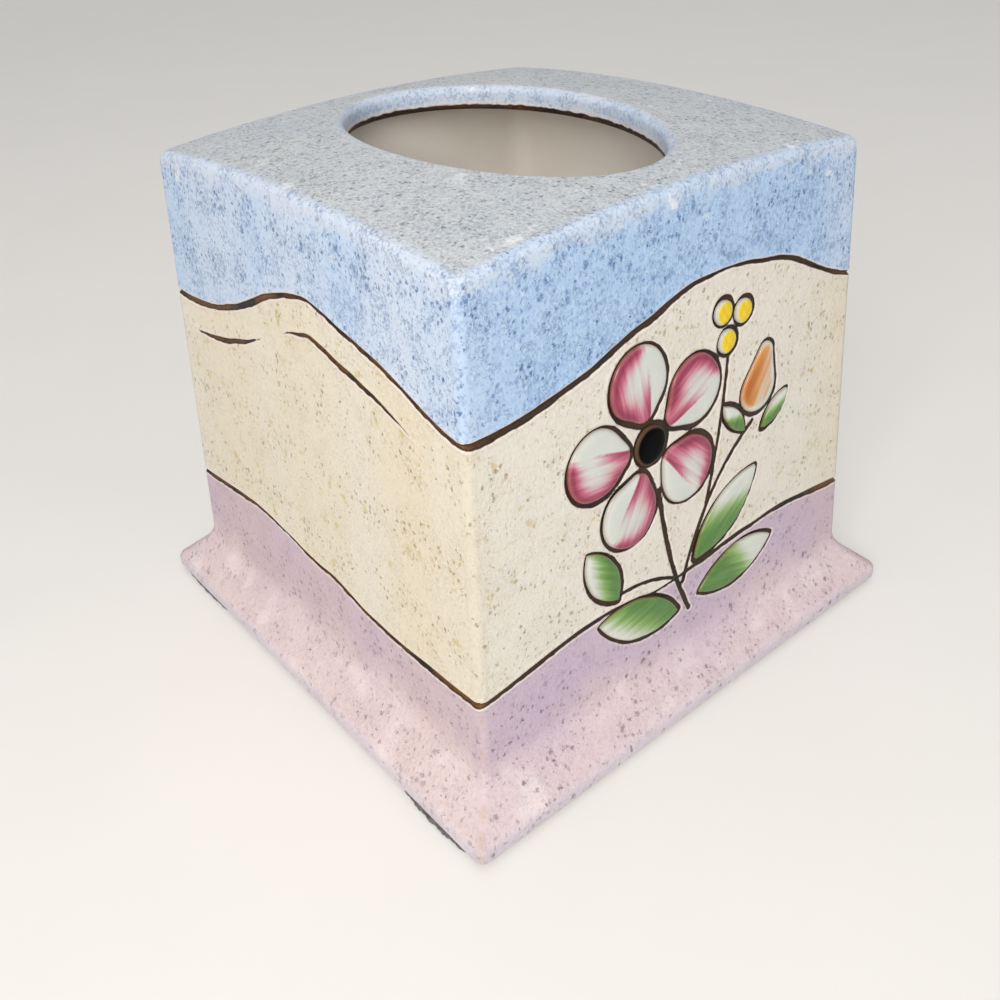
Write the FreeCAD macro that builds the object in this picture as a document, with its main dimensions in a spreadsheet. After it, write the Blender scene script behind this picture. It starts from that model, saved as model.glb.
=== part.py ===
# Tissue box cover: a square glazed ceramic cover, open underneath, that drops over an upright carton of
# tissues.  Leaning walls carry a crowned roof with an oval opening, and stand on a coved, flared foot.
# The roof, the four walls and the four foot mouldings are clay slabs that meet face to face, the spray on
# the front wall is laid on in low relief, and felt strips under the foot keep the glaze off the table.
# Millimetres, +Z up, front towards -Y, origin on the table under the middle of the cover.
import FreeCAD, Part
import Sketcher
import math
import os

# Driving dimensions: name, value, meaning
SIZES = [
    ("top_width", 126.0, "across the walls, level with the roof's corners"),
    ("foot_width", 140.7, "across the walls, where they would meet the flare of the foot"),
    ("skirt_width", 161.0, "across the lip of the foot"),
    ("body_height", 136.0, "from the underside of the foot to the roof's corners"),
    ("skirt_rise", 13.8, "height at which the flare would meet the wall"),
    ("lip_height", 4.4, "height of the foot's upright lip"),
    ("foot_height", 20.0, "height of the foot mouldings, up to the walls"),
    ("cove_radius", 10.0, "hollow between the wall and the flare"),
    ("lip_round", 3.0, "top of the lip"),
    ("arris_round", 2.4, "upright corners"),
    ("crown_rise", 6.7, "rise of the roof's middle above its corners"),
    ("roof_round", 2.0, "edge between the roof and the walls"),
    ("roof_thickness", 6.5, "roof slab"),
    ("wall_thickness", 6.0, "wall slabs, measured level"),
    ("end_land", 14.0, "from the front and back walls' faces to the oval opening"),
    ("side_land", 31.0, "from the side walls' faces to the oval opening"),
    ("rim_round", 2.2, "upper edge of the opening"),
    ("rim_ease", 1.0, "lower edge of the opening"),
    ("felt_thickness", 1.5, "felt strips under the foot"),
    ("felt_length", 27.0, "felt strip, along the side"),
    ("felt_width", 10.0, "felt strip, across"),
    ("felt_inset", 0.4, "from the face of the lip to the felt"),
    ("felt_end_gap", 6.0, "from the end of the side to the felt"),
    ("spray_height", 86.0, "the laid-on spray, top to bottom"),
    ("spray_middle", 67.0, "height of the spray's middle above the underside of the foot"),
    ("relief_thickness", 0.8, "pieces of the spray"),
    ("relief_round", 0.35, "upper edges of the pieces"),
    ("overrun", 5.0, "how far a cutting shape runs past what it cuts"),
]

# The four sides, each a quarter turn on from the one before
SIDES = ["front", "right", "back", "left"]
QUARTER_TURN = 90.0

# The spray in shares of its height, across and up from its middle on the wall
FLOWER_PLACE_SHARES = (-0.14, 0.17)
PETAL_COUNT = 5
PETAL_FIRST_ANGLE = 102.0
PETAL_INNER_SHARE = 0.125
PETAL_OUTER_SHARE = 0.205
PETAL_NARROW_SHARE = 0.045
PETAL_BROAD_SHARE = 0.105
CENTRE_RADIUS_SHARE = 0.06
BUD_PLACE_SHARES = (0.32, 0.17)
BUD_ANGLE = 75.0
BUD_LENGTH_SHARE = 0.115
BUD_BROAD_SHARE = 0.075
BUD_NARROW_SHARE = 0.03
BERRY_RADIUS_SHARE = 0.036
BERRY_PLACE_SHARES = [(0.17, 0.37), (0.235, 0.44), (0.15, 0.46)]

# Leaves: name, angle, then place across and up, length and width in shares of the spray's height
LEAF_SHARES = [
    ("upper_left_leaf", 118.0, (-0.335, -0.175, 0.24, 0.11)),
    ("lower_left_leaf", 160.0, (-0.19, -0.40, 0.36, 0.14)),
    ("upper_right_leaf", 38.0, (0.19, -0.20, 0.36, 0.14)),
    ("lower_right_leaf", 8.0, (0.25, -0.42, 0.36, 0.14)),
    ("left_sepal", 130.0, (0.215, 0.11, 0.15, 0.055)),
    ("right_sepal", 40.0, (0.405, 0.075, 0.15, 0.055)),
]

# How near two lengths are the same, when an edge is looked up by its place
SAME_LENGTH = 1e-4

doc = FreeCAD.newDocument("tissue_box_cover")
sheet = doc.addObject("Spreadsheet::Sheet", "sizes")
for row, (alias, number, meaning) in enumerate(SIZES, start=1):
    sheet.set(f"A{row}", meaning)
    sheet.set(f"B{row}", str(number))
    sheet.setAlias(f"B{row}", alias)
doc.recompute()

# Worked-out sizes, as expressions on the sheet
WALL_SLOPE = "((sizes.foot_width - sizes.top_width) / 2 / (sizes.body_height - sizes.skirt_rise))"
WALL_LEAN = f"atan({WALL_SLOPE})"
CROWN_HEIGHT = "(sizes.body_height + sizes.crown_rise)"
CROWN_RADIUS = "((sizes.top_width ^ 2 / 2 + sizes.crown_rise ^ 2) / 2 / sizes.crown_rise)"
SEAT_HEIGHT = "(sizes.body_height - sizes.roof_thickness)"
OPENING_LENGTH = "(sizes.top_width - 2 * sizes.end_land)"
OPENING_WIDTH = "(sizes.top_width - 2 * sizes.side_land)"

# A rounding that runs across another one stays tighter than it
ROUND_LIMIT_SHARE = 0.9
ARRIS_ROUND = f"min(sizes.arris_round; {ROUND_LIMIT_SHARE} * sizes.lip_round)"
ROOF_ROUND = f"min(sizes.roof_round; {ROUND_LIMIT_SHARE} * {ARRIS_ROUND})"


def measure(expression):
    """The present value of an expression, as a plain number."""
    result = sheet.evalExpression(expression)
    return float(getattr(result, "Value", result))


def half_width_at(height):
    """Half the width across the outer faces of the walls at a height, as an expression."""
    return f"(sizes.top_width / 2 + (sizes.body_height - ({height})) * {WALL_SLOPE})"


def bind(thing, **expressions):
    """Tie properties to the sheet; two underscores in a name stand for a dot."""
    for name, expression in expressions.items():
        thing.setExpression(name.replace("__", "."), expression)


def new_sketch(body, name, role):
    """A sketch on one of the body's own origin planes."""
    sketch = body.newObject("Sketcher::SketchObject", name)
    plane = next(item for item in body.Origin.OriginFeatures if item.Role == role)
    sketch.AttachmentSupport = [(plane, "")]
    sketch.MapMode = "FlatFace"
    return sketch


def add_size(sketch, kind, elements, expression):
    """A driving constraint of the sketch, tied to an expression."""
    index = sketch.addConstraint(Sketcher.Constraint(kind, *elements, measure(expression)))
    sketch.setExpression(f"Constraints[{index}]", expression)


def middle_of(edge):
    return edge.valueAt((edge.FirstParameter + edge.LastParameter) / 2)


def ends_of(edge):
    return edge.valueAt(edge.FirstParameter), edge.valueAt(edge.LastParameter)


def round_edges(body, name, base, chosen, radius):
    """Fillet the edges of the base feature that the test picks."""
    doc.recompute()
    names = [f"Edge{place}" for place, edge in enumerate(base.Shape.Edges, start=1) if chosen(edge)]
    rounded = body.newObject("PartDesign::Fillet", name)
    rounded.Base = (base, names)
    bind(rounded, Radius=radius)
    doc.recompute()
    return rounded


def side_profile_body(name, role, axis):
    """The cover's side view, drawn on one upright plane and carried straight across the cover."""
    body = doc.addObject("PartDesign::Body", name)
    sketch = new_sketch(body, f"{name}_view", role)
    summit = f"({CROWN_HEIGHT} + sizes.overrun)"
    right = [
        ("sizes.skirt_width / 2", None),
        ("sizes.skirt_width / 2", "sizes.lip_height"),
        ("sizes.foot_width / 2", "sizes.skirt_rise"),
        (half_width_at(summit), summit),
    ]
    corners = [(measure(across), measure(up) if up else 0.0) for across, up in right]
    corners += [(-across, up) for across, up in reversed(corners)]
    count = len(corners)
    for place in range(count):
        start = FreeCAD.Vector(*corners[place], 0)
        end = FreeCAD.Vector(*corners[(place + 1) % count], 0)
        sketch.addGeometry(Part.LineSegment(start, end))
    for place in range(count):
        sketch.addConstraint(Sketcher.Constraint("Coincident", place, 2, (place + 1) % count, 1))
    for place, (across, up) in enumerate(right):
        sketch.addConstraint(Sketcher.Constraint("Symmetric", place, 1, count - 1 - place, 1, -2))
        add_size(sketch, "DistanceX", (-1, 1, place, 1), across)
        if up:
            add_size(sketch, "DistanceY", (-1, 1, place, 1), up)
        else:
            sketch.addConstraint(Sketcher.Constraint("PointOnObject", place, 1, -1))
    carried = body.newObject("PartDesign::Pad", f"{name}_carried")
    carried.Profile = sketch
    carried.SideType = "Symmetric"
    bind(carried, Length="sizes.skirt_width + 2 * sizes.overrun")

    def at_corner(across, up):
        """A test for the two long edges through a corner of the side view."""
        width, height = measure(across), measure(up)
        return lambda edge: (abs(abs(middle_of(edge)[axis]) - width) < SAME_LENGTH
                             and abs(middle_of(edge).z - height) < SAME_LENGTH)

    coved = round_edges(body, f"{name}_cove", carried, at_corner(*right[2]), "sizes.cove_radius")
    round_edges(body, f"{name}_lip", coved, at_corner(*right[1]), "sizes.lip_round")
    return body


def dome_groove(body):
    """Cut the form down to the crowned roof, part of a large sphere through its four corners."""
    sketch = new_sketch(body, "roof_crown_view", "XZ_Plane")
    reach = measure("sizes.skirt_width")
    radius = measure(CROWN_RADIUS)
    summit = measure(CROWN_HEIGHT)
    ceiling = f"({CROWN_HEIGHT} + 2 * sizes.overrun)"
    upper = measure(ceiling)
    centre = FreeCAD.Vector(0, summit - radius, 0)
    end_angle = math.acos(reach / radius)
    edge_height = centre.y + radius * math.sin(end_angle)
    circle = Part.Circle(centre, FreeCAD.Vector(0, 0, 1), radius)
    sketch.addGeometry(Part.ArcOfCircle(circle, end_angle, math.pi / 2))
    points = [(0, summit), (0, upper), (reach, upper), (reach, edge_height)]
    for start, end in zip(points, points[1:]):
        sketch.addGeometry(Part.LineSegment(FreeCAD.Vector(*start, 0), FreeCAD.Vector(*end, 0)))
    for first, second in ((0, 1), (1, 2), (2, 3)):
        sketch.addConstraint(Sketcher.Constraint("Coincident", first, 2, second, 1))
    sketch.addConstraint(Sketcher.Constraint("Coincident", 3, 2, 0, 1))
    sketch.addConstraint(Sketcher.Constraint("PointOnObject", 0, 3, -2))
    sketch.addConstraint(Sketcher.Constraint("PointOnObject", 1, 1, -2))
    sketch.addConstraint(Sketcher.Constraint("PointOnObject", 1, 2, -2))
    sketch.addConstraint(Sketcher.Constraint("Horizontal", 2))
    sketch.addConstraint(Sketcher.Constraint("Vertical", 3))
    add_size(sketch, "Radius", (0,), CROWN_RADIUS)
    add_size(sketch, "DistanceY", (-1, 1, 1, 1), CROWN_HEIGHT)
    add_size(sketch, "DistanceY", (-1, 1, 1, 2), ceiling)
    add_size(sketch, "DistanceX", (-1, 1, 2, 2), "sizes.skirt_width")
    groove = body.newObject("PartDesign::Groove", "roof_crown")
    groove.Profile = sketch
    groove.ReferenceAxis = (sketch, ["V_Axis"])
    groove.Angle = 360
    return groove


def oval_pocket(body):
    """The oval opening, cut upwards through the roof."""
    sketch = new_sketch(body, "opening_plan", "XY_Plane")
    long_half = measure(f"{OPENING_LENGTH} / 2")
    short_half = measure(f"{OPENING_WIDTH} / 2")
    long_end = FreeCAD.Vector(0, long_half, 0)
    short_end = FreeCAD.Vector(-short_half, 0, 0)
    sketch.addGeometry(Part.Ellipse(long_end, short_end, FreeCAD.Vector(0, 0, 0)))
    sketch.exposeInternalGeometry(0)
    sketch.addConstraint(Sketcher.Constraint("Coincident", 0, 3, -1, 1))
    sketch.addConstraint(Sketcher.Constraint("Vertical", 1))
    add_size(sketch, "Distance", (1,), OPENING_LENGTH)
    add_size(sketch, "Distance", (2,), OPENING_WIDTH)
    pocket = body.newObject("PartDesign::Pocket", "opening")
    pocket.Profile = sketch
    pocket.Type = "ThroughAll"
    pocket.Reversed = True
    return pocket


def cavity_body():
    """The space inside: a square that narrows upwards with the walls, closed by the roof's underside."""
    narrowing = doc.addObject("Part::Wedge", "cavity_sides")
    lower = f"{half_width_at('-sizes.overrun')} - sizes.wall_thickness"
    upper = f"{half_width_at(CROWN_HEIGHT)} - sizes.wall_thickness"
    bind(narrowing, Ymin="-sizes.overrun", Ymax=CROWN_HEIGHT)
    bind(narrowing, Xmin=f"-({lower})", Xmax=lower, Zmin=f"-({lower})", Zmax=lower)
    bind(narrowing, X2min=f"-({upper})", X2max=upper, Z2min=f"-({upper})", Z2max=upper)
    narrowing.Placement.Rotation = FreeCAD.Rotation(FreeCAD.Vector(1, 0, 0), QUARTER_TURN)
    underside = doc.addObject("Part::Sphere", "roof_underside")
    bind(underside, Radius=f"{CROWN_RADIUS} - sizes.roof_thickness")
    bind(underside, Placement__Base__z=f"{CROWN_HEIGHT} - {CROWN_RADIUS}")
    cavity = doc.addObject("Part::Common", "cavity")
    cavity.Base = narrowing
    cavity.Tool = underside
    return cavity


def cover_form():
    """The whole fired form: two crossed side views, rounded, crowned, opened and hollowed."""
    body = side_profile_body("cover_across", "XZ_Plane", 0)
    along = side_profile_body("cover_along", "YZ_Plane", 1)
    square = body.newObject("PartDesign::Boolean", "square_plan")
    square.Type = "Common"
    square.setObjects([along])

    def is_arris(edge):
        """The upright corners and the mitres of the foot lie on the two diagonals."""
        start, end = ends_of(edge)
        on_diagonal = all(abs(abs(point.x) - abs(point.y)) < SAME_LENGTH
                          for point in (start, middle_of(edge), end))
        return on_diagonal and abs(start.z - end.z) > SAME_LENGTH

    round_edges(body, "arrises", square, is_arris, ARRIS_ROUND)
    crown = dome_groove(body)
    crown_radius = measure(CROWN_RADIUS)
    crown_centre = FreeCAD.Vector(0, 0, measure(CROWN_HEIGHT) - crown_radius)

    def depth(point):
        """How far a point lies under the crown."""
        return crown_radius - (point - crown_centre).Length

    def runs_at(edge, level):
        """The whole edge keeps to one depth."""
        return all(abs(depth(point) - level) < SAME_LENGTH for point in (*ends_of(edge), middle_of(edge)))

    def inside_opening(edge):
        """The edge keeps to the oval, and doesn't run to the roof's middle."""
        points = (*ends_of(edge), middle_of(edge))
        reaches = [math.hypot(point.x, point.y) for point in points]
        return (min(reaches) > measure(f"{OPENING_WIDTH} / 2") - SAME_LENGTH
                and max(reaches) < measure(f"{OPENING_LENGTH} / 2") + SAME_LENGTH)

    crown_edge = measure("sizes.top_width / 2 - sizes.wall_thickness")

    def is_eaves(edge):
        """The edge between the crown and the walls."""
        return runs_at(edge, 0) and max(map(abs, middle_of(edge)[:2])) > crown_edge

    round_edges(body, "eaves", crown, is_eaves, ROOF_ROUND)
    opening = oval_pocket(body)

    def is_upper_rim(edge):
        return inside_opening(edge) and runs_at(edge, 0)

    round_edges(body, "rim", opening, is_upper_rim, "sizes.rim_round")
    hollowed = doc.addObject("Part::Cut", "hollow_form")
    hollowed.Base = body
    hollowed.Tool = cavity_body()
    doc.recompute()
    eased = doc.addObject("Part::Fillet", "eased_form")
    eased.Base = hollowed
    ease = measure("sizes.rim_ease")
    thickness = measure("sizes.roof_thickness")

    def is_lower_rim(edge):
        return inside_opening(edge) and runs_at(edge, thickness)

    edges = enumerate(hollowed.Shape.Edges, start=1)
    eased.Edges = [(place, ease, ease) for place, edge in edges if is_lower_rim(edge)]
    doc.recompute()
    return eased


def sector(name, turns, low, high):
    """A quarter of the plan between two heights, from the middle of the cover out past one side."""
    piece = doc.addObject("Part::Wedge", name)
    bind(piece, Xmin="-sizes.skirt_width", Xmax="sizes.skirt_width", X2min="0", X2max="0")
    bind(piece, Ymin="-sizes.skirt_width", Ymax="0", Zmin=low, Zmax=high, Z2min=low, Z2max=high)
    piece.Placement.Rotation = FreeCAD.Rotation(FreeCAD.Vector(0, 0, 1), turns * QUARTER_TURN)
    return piece


def slab(label, form, region):
    """The part of the form inside a region, raised on to the felt."""
    piece = doc.addObject("Part::Common", label)
    piece.Label = label
    piece.Base = form
    piece.Tool = region
    bind(piece, Placement__Base__z="sizes.felt_thickness")
    return piece


def roof_region():
    """Everything above the seat of the roof on the walls."""
    region = doc.addObject("Part::Box", "roof_region")
    bind(region, Length="2 * sizes.skirt_width", Width="2 * sizes.skirt_width")
    bind(region, Height="sizes.roof_thickness + sizes.crown_rise + sizes.overrun")
    bind(region, Placement__Base__x="-sizes.skirt_width", Placement__Base__y="-sizes.skirt_width")
    bind(region, Placement__Base__z=SEAT_HEIGHT)
    return region


def clay_slabs():
    """The roof, the four walls under it and the four foot mouldings under them."""
    form = cover_form()
    pieces = [slab("roof", form, roof_region())]
    for turns, side in enumerate(SIDES):
        wall_sector = sector(f"{side}_wall_sector", turns, "sizes.foot_height", SEAT_HEIGHT)
        foot_sector = sector(f"{side}_foot_sector", turns, "-sizes.overrun", "sizes.foot_height")
        pieces.append(slab(f"{side}_wall", form, wall_sector))
        pieces.append(slab(f"{side}_foot", form, foot_sector))
    return pieces


def felt_strips():
    """Four strips under the foot's left and right mouldings, near both ends of each."""
    strips = []
    for side, right in (("left", False), ("right", True)):
        for end, back in (("front", False), ("back", True)):
            strip = doc.addObject("Part::Box", f"{end}_{side}_felt_strip")
            bind(strip, Length="sizes.felt_width", Width="sizes.felt_length", Height="sizes.felt_thickness")
            left_place = "-sizes.skirt_width / 2 + sizes.felt_inset"
            right_place = "sizes.skirt_width / 2 - sizes.felt_inset - sizes.felt_width"
            front_place = "-sizes.skirt_width / 2 + sizes.felt_end_gap"
            back_place = "sizes.skirt_width / 2 - sizes.felt_end_gap - sizes.felt_length"
            bind(strip, Placement__Base__x=right_place if right else left_place)
            bind(strip, Placement__Base__y=back_place if back else front_place)
            strips.append(strip)
    return strips


def spray_share(share):
    """A share of the spray's height, as an expression."""
    return f"({share} * sizes.spray_height)"


def relief_sketch(label, place_shares, angle):
    """A body lying on the front wall, and in it a sketch set down at a place of the spray and turned."""
    body = doc.addObject("PartDesign::Body", label)
    body.Label = label
    body.Placement.Rotation = FreeCAD.Rotation(FreeCAD.Vector(1, 0, 0), QUARTER_TURN)
    bind(body, Placement__Rotation__Angle=f"90 deg - {WALL_LEAN}")
    bind(body, Placement__Base__y=f"-{half_width_at('sizes.spray_middle')}")
    bind(body, Placement__Base__z="sizes.felt_thickness + sizes.spray_middle")
    sketch = new_sketch(body, f"{label}_outline", "XY_Plane")
    across, up = place_shares
    sketch.AttachmentOffset = FreeCAD.Placement(
        FreeCAD.Vector(0, 0, 0), FreeCAD.Rotation(FreeCAD.Vector(0, 0, 1), angle))
    bind(sketch, AttachmentOffset__Base__x=spray_share(across), AttachmentOffset__Base__y=spray_share(up))
    return body, sketch


def laid_on(body, sketch):
    """Thicken an outline off the wall and round its upper edges."""
    raised = body.newObject("PartDesign::Pad", f"{body.Label}_raised")
    raised.Profile = sketch
    bind(raised, Length="sizes.relief_thickness")
    thickness = measure("sizes.relief_thickness")

    def is_upper(edge):
        return all(abs(point.z - thickness) < SAME_LENGTH for point in (*ends_of(edge), middle_of(edge)))

    round_edges(body, f"{body.Label}_softened", raised, is_upper, "sizes.relief_round")
    return body


def egg_piece(label, place_shares, angle, centre_shares, radius_shares):
    """Two circles on one line joined by their tangents: a petal or a bud."""
    body, sketch = relief_sketch(label, place_shares, angle)
    first, second = (measure(spray_share(share)) for share in centre_shares)
    first_radius, second_radius = (measure(spray_share(share)) for share in radius_shares)
    tilt = math.pi / 2 + math.asin((second_radius - first_radius) / (second - first))
    normal = FreeCAD.Vector(0, 0, 1)

    def on_circle(centre, radius, turn):
        return FreeCAD.Vector(centre + radius * math.cos(turn), radius * math.sin(turn), 0)

    far_circle = Part.Circle(FreeCAD.Vector(second, 0, 0), normal, second_radius)
    near_circle = Part.Circle(FreeCAD.Vector(first, 0, 0), normal, first_radius)
    sketch.addGeometry(Part.ArcOfCircle(far_circle, -tilt, tilt))
    sketch.addGeometry(Part.LineSegment(
        on_circle(second, second_radius, tilt), on_circle(first, first_radius, tilt)))
    sketch.addGeometry(Part.ArcOfCircle(near_circle, tilt, 2 * math.pi - tilt))
    sketch.addGeometry(Part.LineSegment(
        on_circle(first, first_radius, -tilt), on_circle(second, second_radius, -tilt)))
    for place in range(4):
        sketch.addConstraint(Sketcher.Constraint("Tangent", place, 2, (place + 1) % 4, 1))
    for arc, centre_share, radius_share in zip((2, 0), centre_shares, radius_shares):
        sketch.addConstraint(Sketcher.Constraint("PointOnObject", arc, 3, -1))
        add_size(sketch, "Radius", (arc,), spray_share(radius_share))
        if centre_share:
            add_size(sketch, "DistanceX", (-1, 1, arc, 3), spray_share(centre_share))
        else:
            sketch.addConstraint(Sketcher.Constraint("PointOnObject", arc, 3, -2))
    return laid_on(body, sketch)


def leaf_piece(label, angle, shares):
    """Two equal arcs that meet in a point at each end."""
    across, up, length_share, width_share = shares
    body, sketch = relief_sketch(label, (across, up), angle)
    half_length = spray_share(length_share / 2)
    radius_share = (length_share ** 2 + width_share ** 2) / (4 * width_share)
    radius = measure(spray_share(radius_share))
    sink = radius - measure(spray_share(width_share / 2))
    spread = math.asin(measure(half_length) / radius)
    for side in (-1, 1):
        circle = Part.Circle(FreeCAD.Vector(0, -side * sink, 0), FreeCAD.Vector(0, 0, 1), radius)
        facing = side * math.pi / 2
        sketch.addGeometry(Part.ArcOfCircle(circle, facing - spread, facing + spread))
    for first, second in ((0, 1), (1, 0)):
        sketch.addConstraint(Sketcher.Constraint("Coincident", first, 2, second, 1))
    sketch.addConstraint(Sketcher.Constraint("PointOnObject", 0, 2, -1))
    sketch.addConstraint(Sketcher.Constraint("Symmetric", 0, 1, 0, 2, -2))
    sketch.addConstraint(Sketcher.Constraint("Equal", 0, 1))
    add_size(sketch, "DistanceX", (-1, 1, 0, 2), half_length)
    add_size(sketch, "Radius", (0,), spray_share(radius_share))
    return laid_on(body, sketch)


def disc_piece(label, place_shares, radius_share):
    """A round piece: the flower's centre or a berry."""
    body, sketch = relief_sketch(label, place_shares, 0)
    radius = spray_share(radius_share)
    origin = FreeCAD.Vector(0, 0, 0)
    sketch.addGeometry(Part.Circle(origin, FreeCAD.Vector(0, 0, 1), measure(radius)))
    sketch.addConstraint(Sketcher.Constraint("Coincident", 0, 3, -1, 1))
    add_size(sketch, "Radius", (0,), radius)
    return laid_on(body, sketch)


def spray_pieces():
    """The laid-on spray: a flower, its leaves, a bud between two sepals and three berries."""
    pieces = [disc_piece("flower_centre", FLOWER_PLACE_SHARES, CENTRE_RADIUS_SHARE)]
    for count in range(PETAL_COUNT):
        angle = PETAL_FIRST_ANGLE + count * 360 / PETAL_COUNT
        pieces.append(egg_piece(f"petal_{count + 1}", FLOWER_PLACE_SHARES, angle,
                                (PETAL_INNER_SHARE, PETAL_OUTER_SHARE),
                                (PETAL_NARROW_SHARE, PETAL_BROAD_SHARE)))
    pieces.append(egg_piece("bud", BUD_PLACE_SHARES, BUD_ANGLE, (0, BUD_LENGTH_SHARE),
                            (BUD_BROAD_SHARE, BUD_NARROW_SHARE)))
    for label, angle, shares in LEAF_SHARES:
        pieces.append(leaf_piece(label, angle, shares))
    for count, place_shares in enumerate(BERRY_PLACE_SHARES, start=1):
        pieces.append(disc_piece(f"berry_{count}", place_shares, BERRY_RADIUS_SHARE))
    return pieces


def check(pieces):
    """Stop before anything is written if an object failed or a piece is not one sound solid."""
    for item in doc.Objects:
        if "Invalid" in item.State or "Error" in item.State:
            raise RuntimeError(f"{item.Name} did not compute: {item.State}")
    for piece in pieces:
        shape = piece.Shape
        if shape.isNull() or not shape.isValid() or len(shape.Solids) != 1:
            raise RuntimeError(f"{piece.Label} is not one valid solid")


pieces = clay_slabs() + felt_strips() + spray_pieces()
doc.recompute()
check(pieces)
os.makedirs("parts", exist_ok=True)
for piece in pieces:
    piece.Shape.exportStep(f"parts/{piece.Label}.step")
    box = piece.Shape.BoundBox
    print(f"{piece.Label}: {piece.Shape.Volume:.0f} mm3, "
          f"{box.XLength:.1f} x {box.YLength:.1f} x {box.ZLength:.1f} mm")
print(len(pieces), "pieces")
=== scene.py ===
# %% [markdown]
# # A glazed ceramic tissue box cover
# The real cover is slab-built pottery: four leaning walls, a crowned roof with an oval opening and a
# flared foot.  Speckled glazes in blue, cream and lilac meet along brown incised lines, and a spray of
# flowers is laid on the front wall in low relief.  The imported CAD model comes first, as a fixed frame:
# every piece below takes its place and its main sizes from the frame's nodes.

# %% Load the frame
import math
import bpy
import numpy as np
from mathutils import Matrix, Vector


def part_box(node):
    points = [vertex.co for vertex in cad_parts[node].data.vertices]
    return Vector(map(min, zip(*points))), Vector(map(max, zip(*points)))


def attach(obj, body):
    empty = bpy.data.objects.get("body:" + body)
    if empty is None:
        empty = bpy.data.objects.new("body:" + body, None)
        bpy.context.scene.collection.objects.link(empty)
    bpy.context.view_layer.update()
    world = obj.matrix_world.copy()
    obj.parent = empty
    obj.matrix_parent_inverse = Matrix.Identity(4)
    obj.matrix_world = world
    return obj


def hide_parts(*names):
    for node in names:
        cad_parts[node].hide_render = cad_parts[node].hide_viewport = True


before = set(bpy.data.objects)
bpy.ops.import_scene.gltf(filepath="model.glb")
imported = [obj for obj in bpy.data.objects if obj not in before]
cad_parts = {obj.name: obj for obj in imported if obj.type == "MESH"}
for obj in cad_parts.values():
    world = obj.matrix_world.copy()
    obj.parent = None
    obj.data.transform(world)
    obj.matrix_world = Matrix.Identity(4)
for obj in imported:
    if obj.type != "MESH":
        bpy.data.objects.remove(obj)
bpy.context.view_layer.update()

# %% [markdown]
# ## Sizes
# Lengths in this file are millimetres, because that is how a potter would measure the cover.  They turn
# into metres once, where a mesh is made.  What a node's box can tell is read from it; the roundings, the
# opening and the roof's curve can't be read from a box, so they are repeated from the part's own sizes.

# %% Read the main sizes
MM = 0.001


def node_box(name):
    """A node's lowest and highest corners, in millimetres."""
    low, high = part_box(name)
    return np.array(low) / MM, np.array(high) / MM


foot_low = node_box("front_foot")[0]
wall_low, wall_high = node_box("front_wall")
roof_low = node_box("roof")[0]
FOOT_UNDERSIDE = foot_low[2]
LIP_HALF = -foot_low[1]
FOOT_TOP, SEAT = wall_low[2], wall_high[2]
HALF_AT_FOOT, HALF_AT_SEAT = -wall_low[1], -roof_low[1]
WALL_SLOPE = (HALF_AT_FOOT - HALF_AT_SEAT) / (SEAT - FOOT_TOP)
WALL_THICKNESS = HALF_AT_SEAT + wall_high[1]
print(f"walls from {FOOT_TOP:.1f} to {SEAT:.1f}, {WALL_THICKNESS:.1f} thick, slope {WALL_SLOPE:.4f}")

# %% Roundings and the roof's curve
ARRIS_ROUND = 2.4
INNER_ROUND = 6.0
EAVES_ROUND = 2.0
SKIRT_RISE = 13.8
LIP_HEIGHT = 4.4
COVE_ROUND = 10.0
LIP_ROUND = 3.0
UNDER_ROUND = 0.8
ROOF_THICKNESS = 6.5
RIM_ROUND = 2.2
RIM_EASE = 1.0
OPENING_HALF_X, OPENING_HALF_Y = 32.0, 49.0
CROWN_RISE = 6.7
CORNER_HEIGHT = SEAT + ROOF_THICKNESS


def half_width(height):
    """Half the width across the walls: it shrinks steadily as the height grows."""
    return HALF_AT_FOOT - (height - FOOT_TOP) * WALL_SLOPE


CORNER_HALF = half_width(CORNER_HEIGHT)
CROWN_RADIUS = (2 * CORNER_HALF ** 2 + CROWN_RISE ** 2) / (2 * CROWN_RISE)
CROWN_CENTRE = CORNER_HEIGHT + CROWN_RISE - CROWN_RADIUS


def crown_height(x, y, depth=0.0):
    """Height of the crown, or of a sphere a depth under it: centre + sqrt(radius^2 - x^2 - y^2)."""
    return CROWN_CENTRE + np.sqrt((CROWN_RADIUS - depth) ** 2 - x ** 2 - y ** 2)


print(f"crown radius {CROWN_RADIUS:.0f}, corners at {CORNER_HEIGHT:.1f}")

# %% [markdown]
# ## The square plan
# Every slab follows the same plan, a square with rounded corners, at a half width that changes with the
# height.  A lathe or a modifier could round a box, but then nothing would know where round the cover a
# point lies.  Here each column of a grid keeps four factors, so a whole grid is two multiplications.

# %% Columns of the plan
QUARTERS = 4
CORNER_STEPS = 8
EAVES_ROUNDS = 4


def side_plan(straight_steps):
    """One side of the rounded square, from mitre to mitre, for a half width h and a corner radius r.
    Along the straight, at a share f, x = f h - f r and y = -h.  Round the corner, at a turn t,
    x = h + (sin t - 1) r and y = -h + (1 - cos t) r, and mirrored at the other end.
    The four rows are the factors of h and r in x, then in y."""
    share = np.linspace(-1, 1, straight_steps + 1)
    turn = np.linspace(0, math.pi / 4, CORNER_STEPS + 1)[1:]
    one = np.ones_like(turn)
    right = np.stack([one, np.sin(turn) - 1, -one, 1 - np.cos(turn)])
    left = right[:, ::-1] * np.array([[-1], [-1], [1], [1]])
    straight = np.stack([share, -share, -np.ones_like(share), np.zeros_like(share)])
    return np.concatenate([left, straight, right], axis=1)


def turned_plan(plan, quarter):
    """The plan some quarter turns on: each turn takes (x, y) to (-y, x)."""
    for _ in range(quarter):
        plan = np.stack([-plan[2], -plan[3], plan[0], plan[1]])
    return plan


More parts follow.
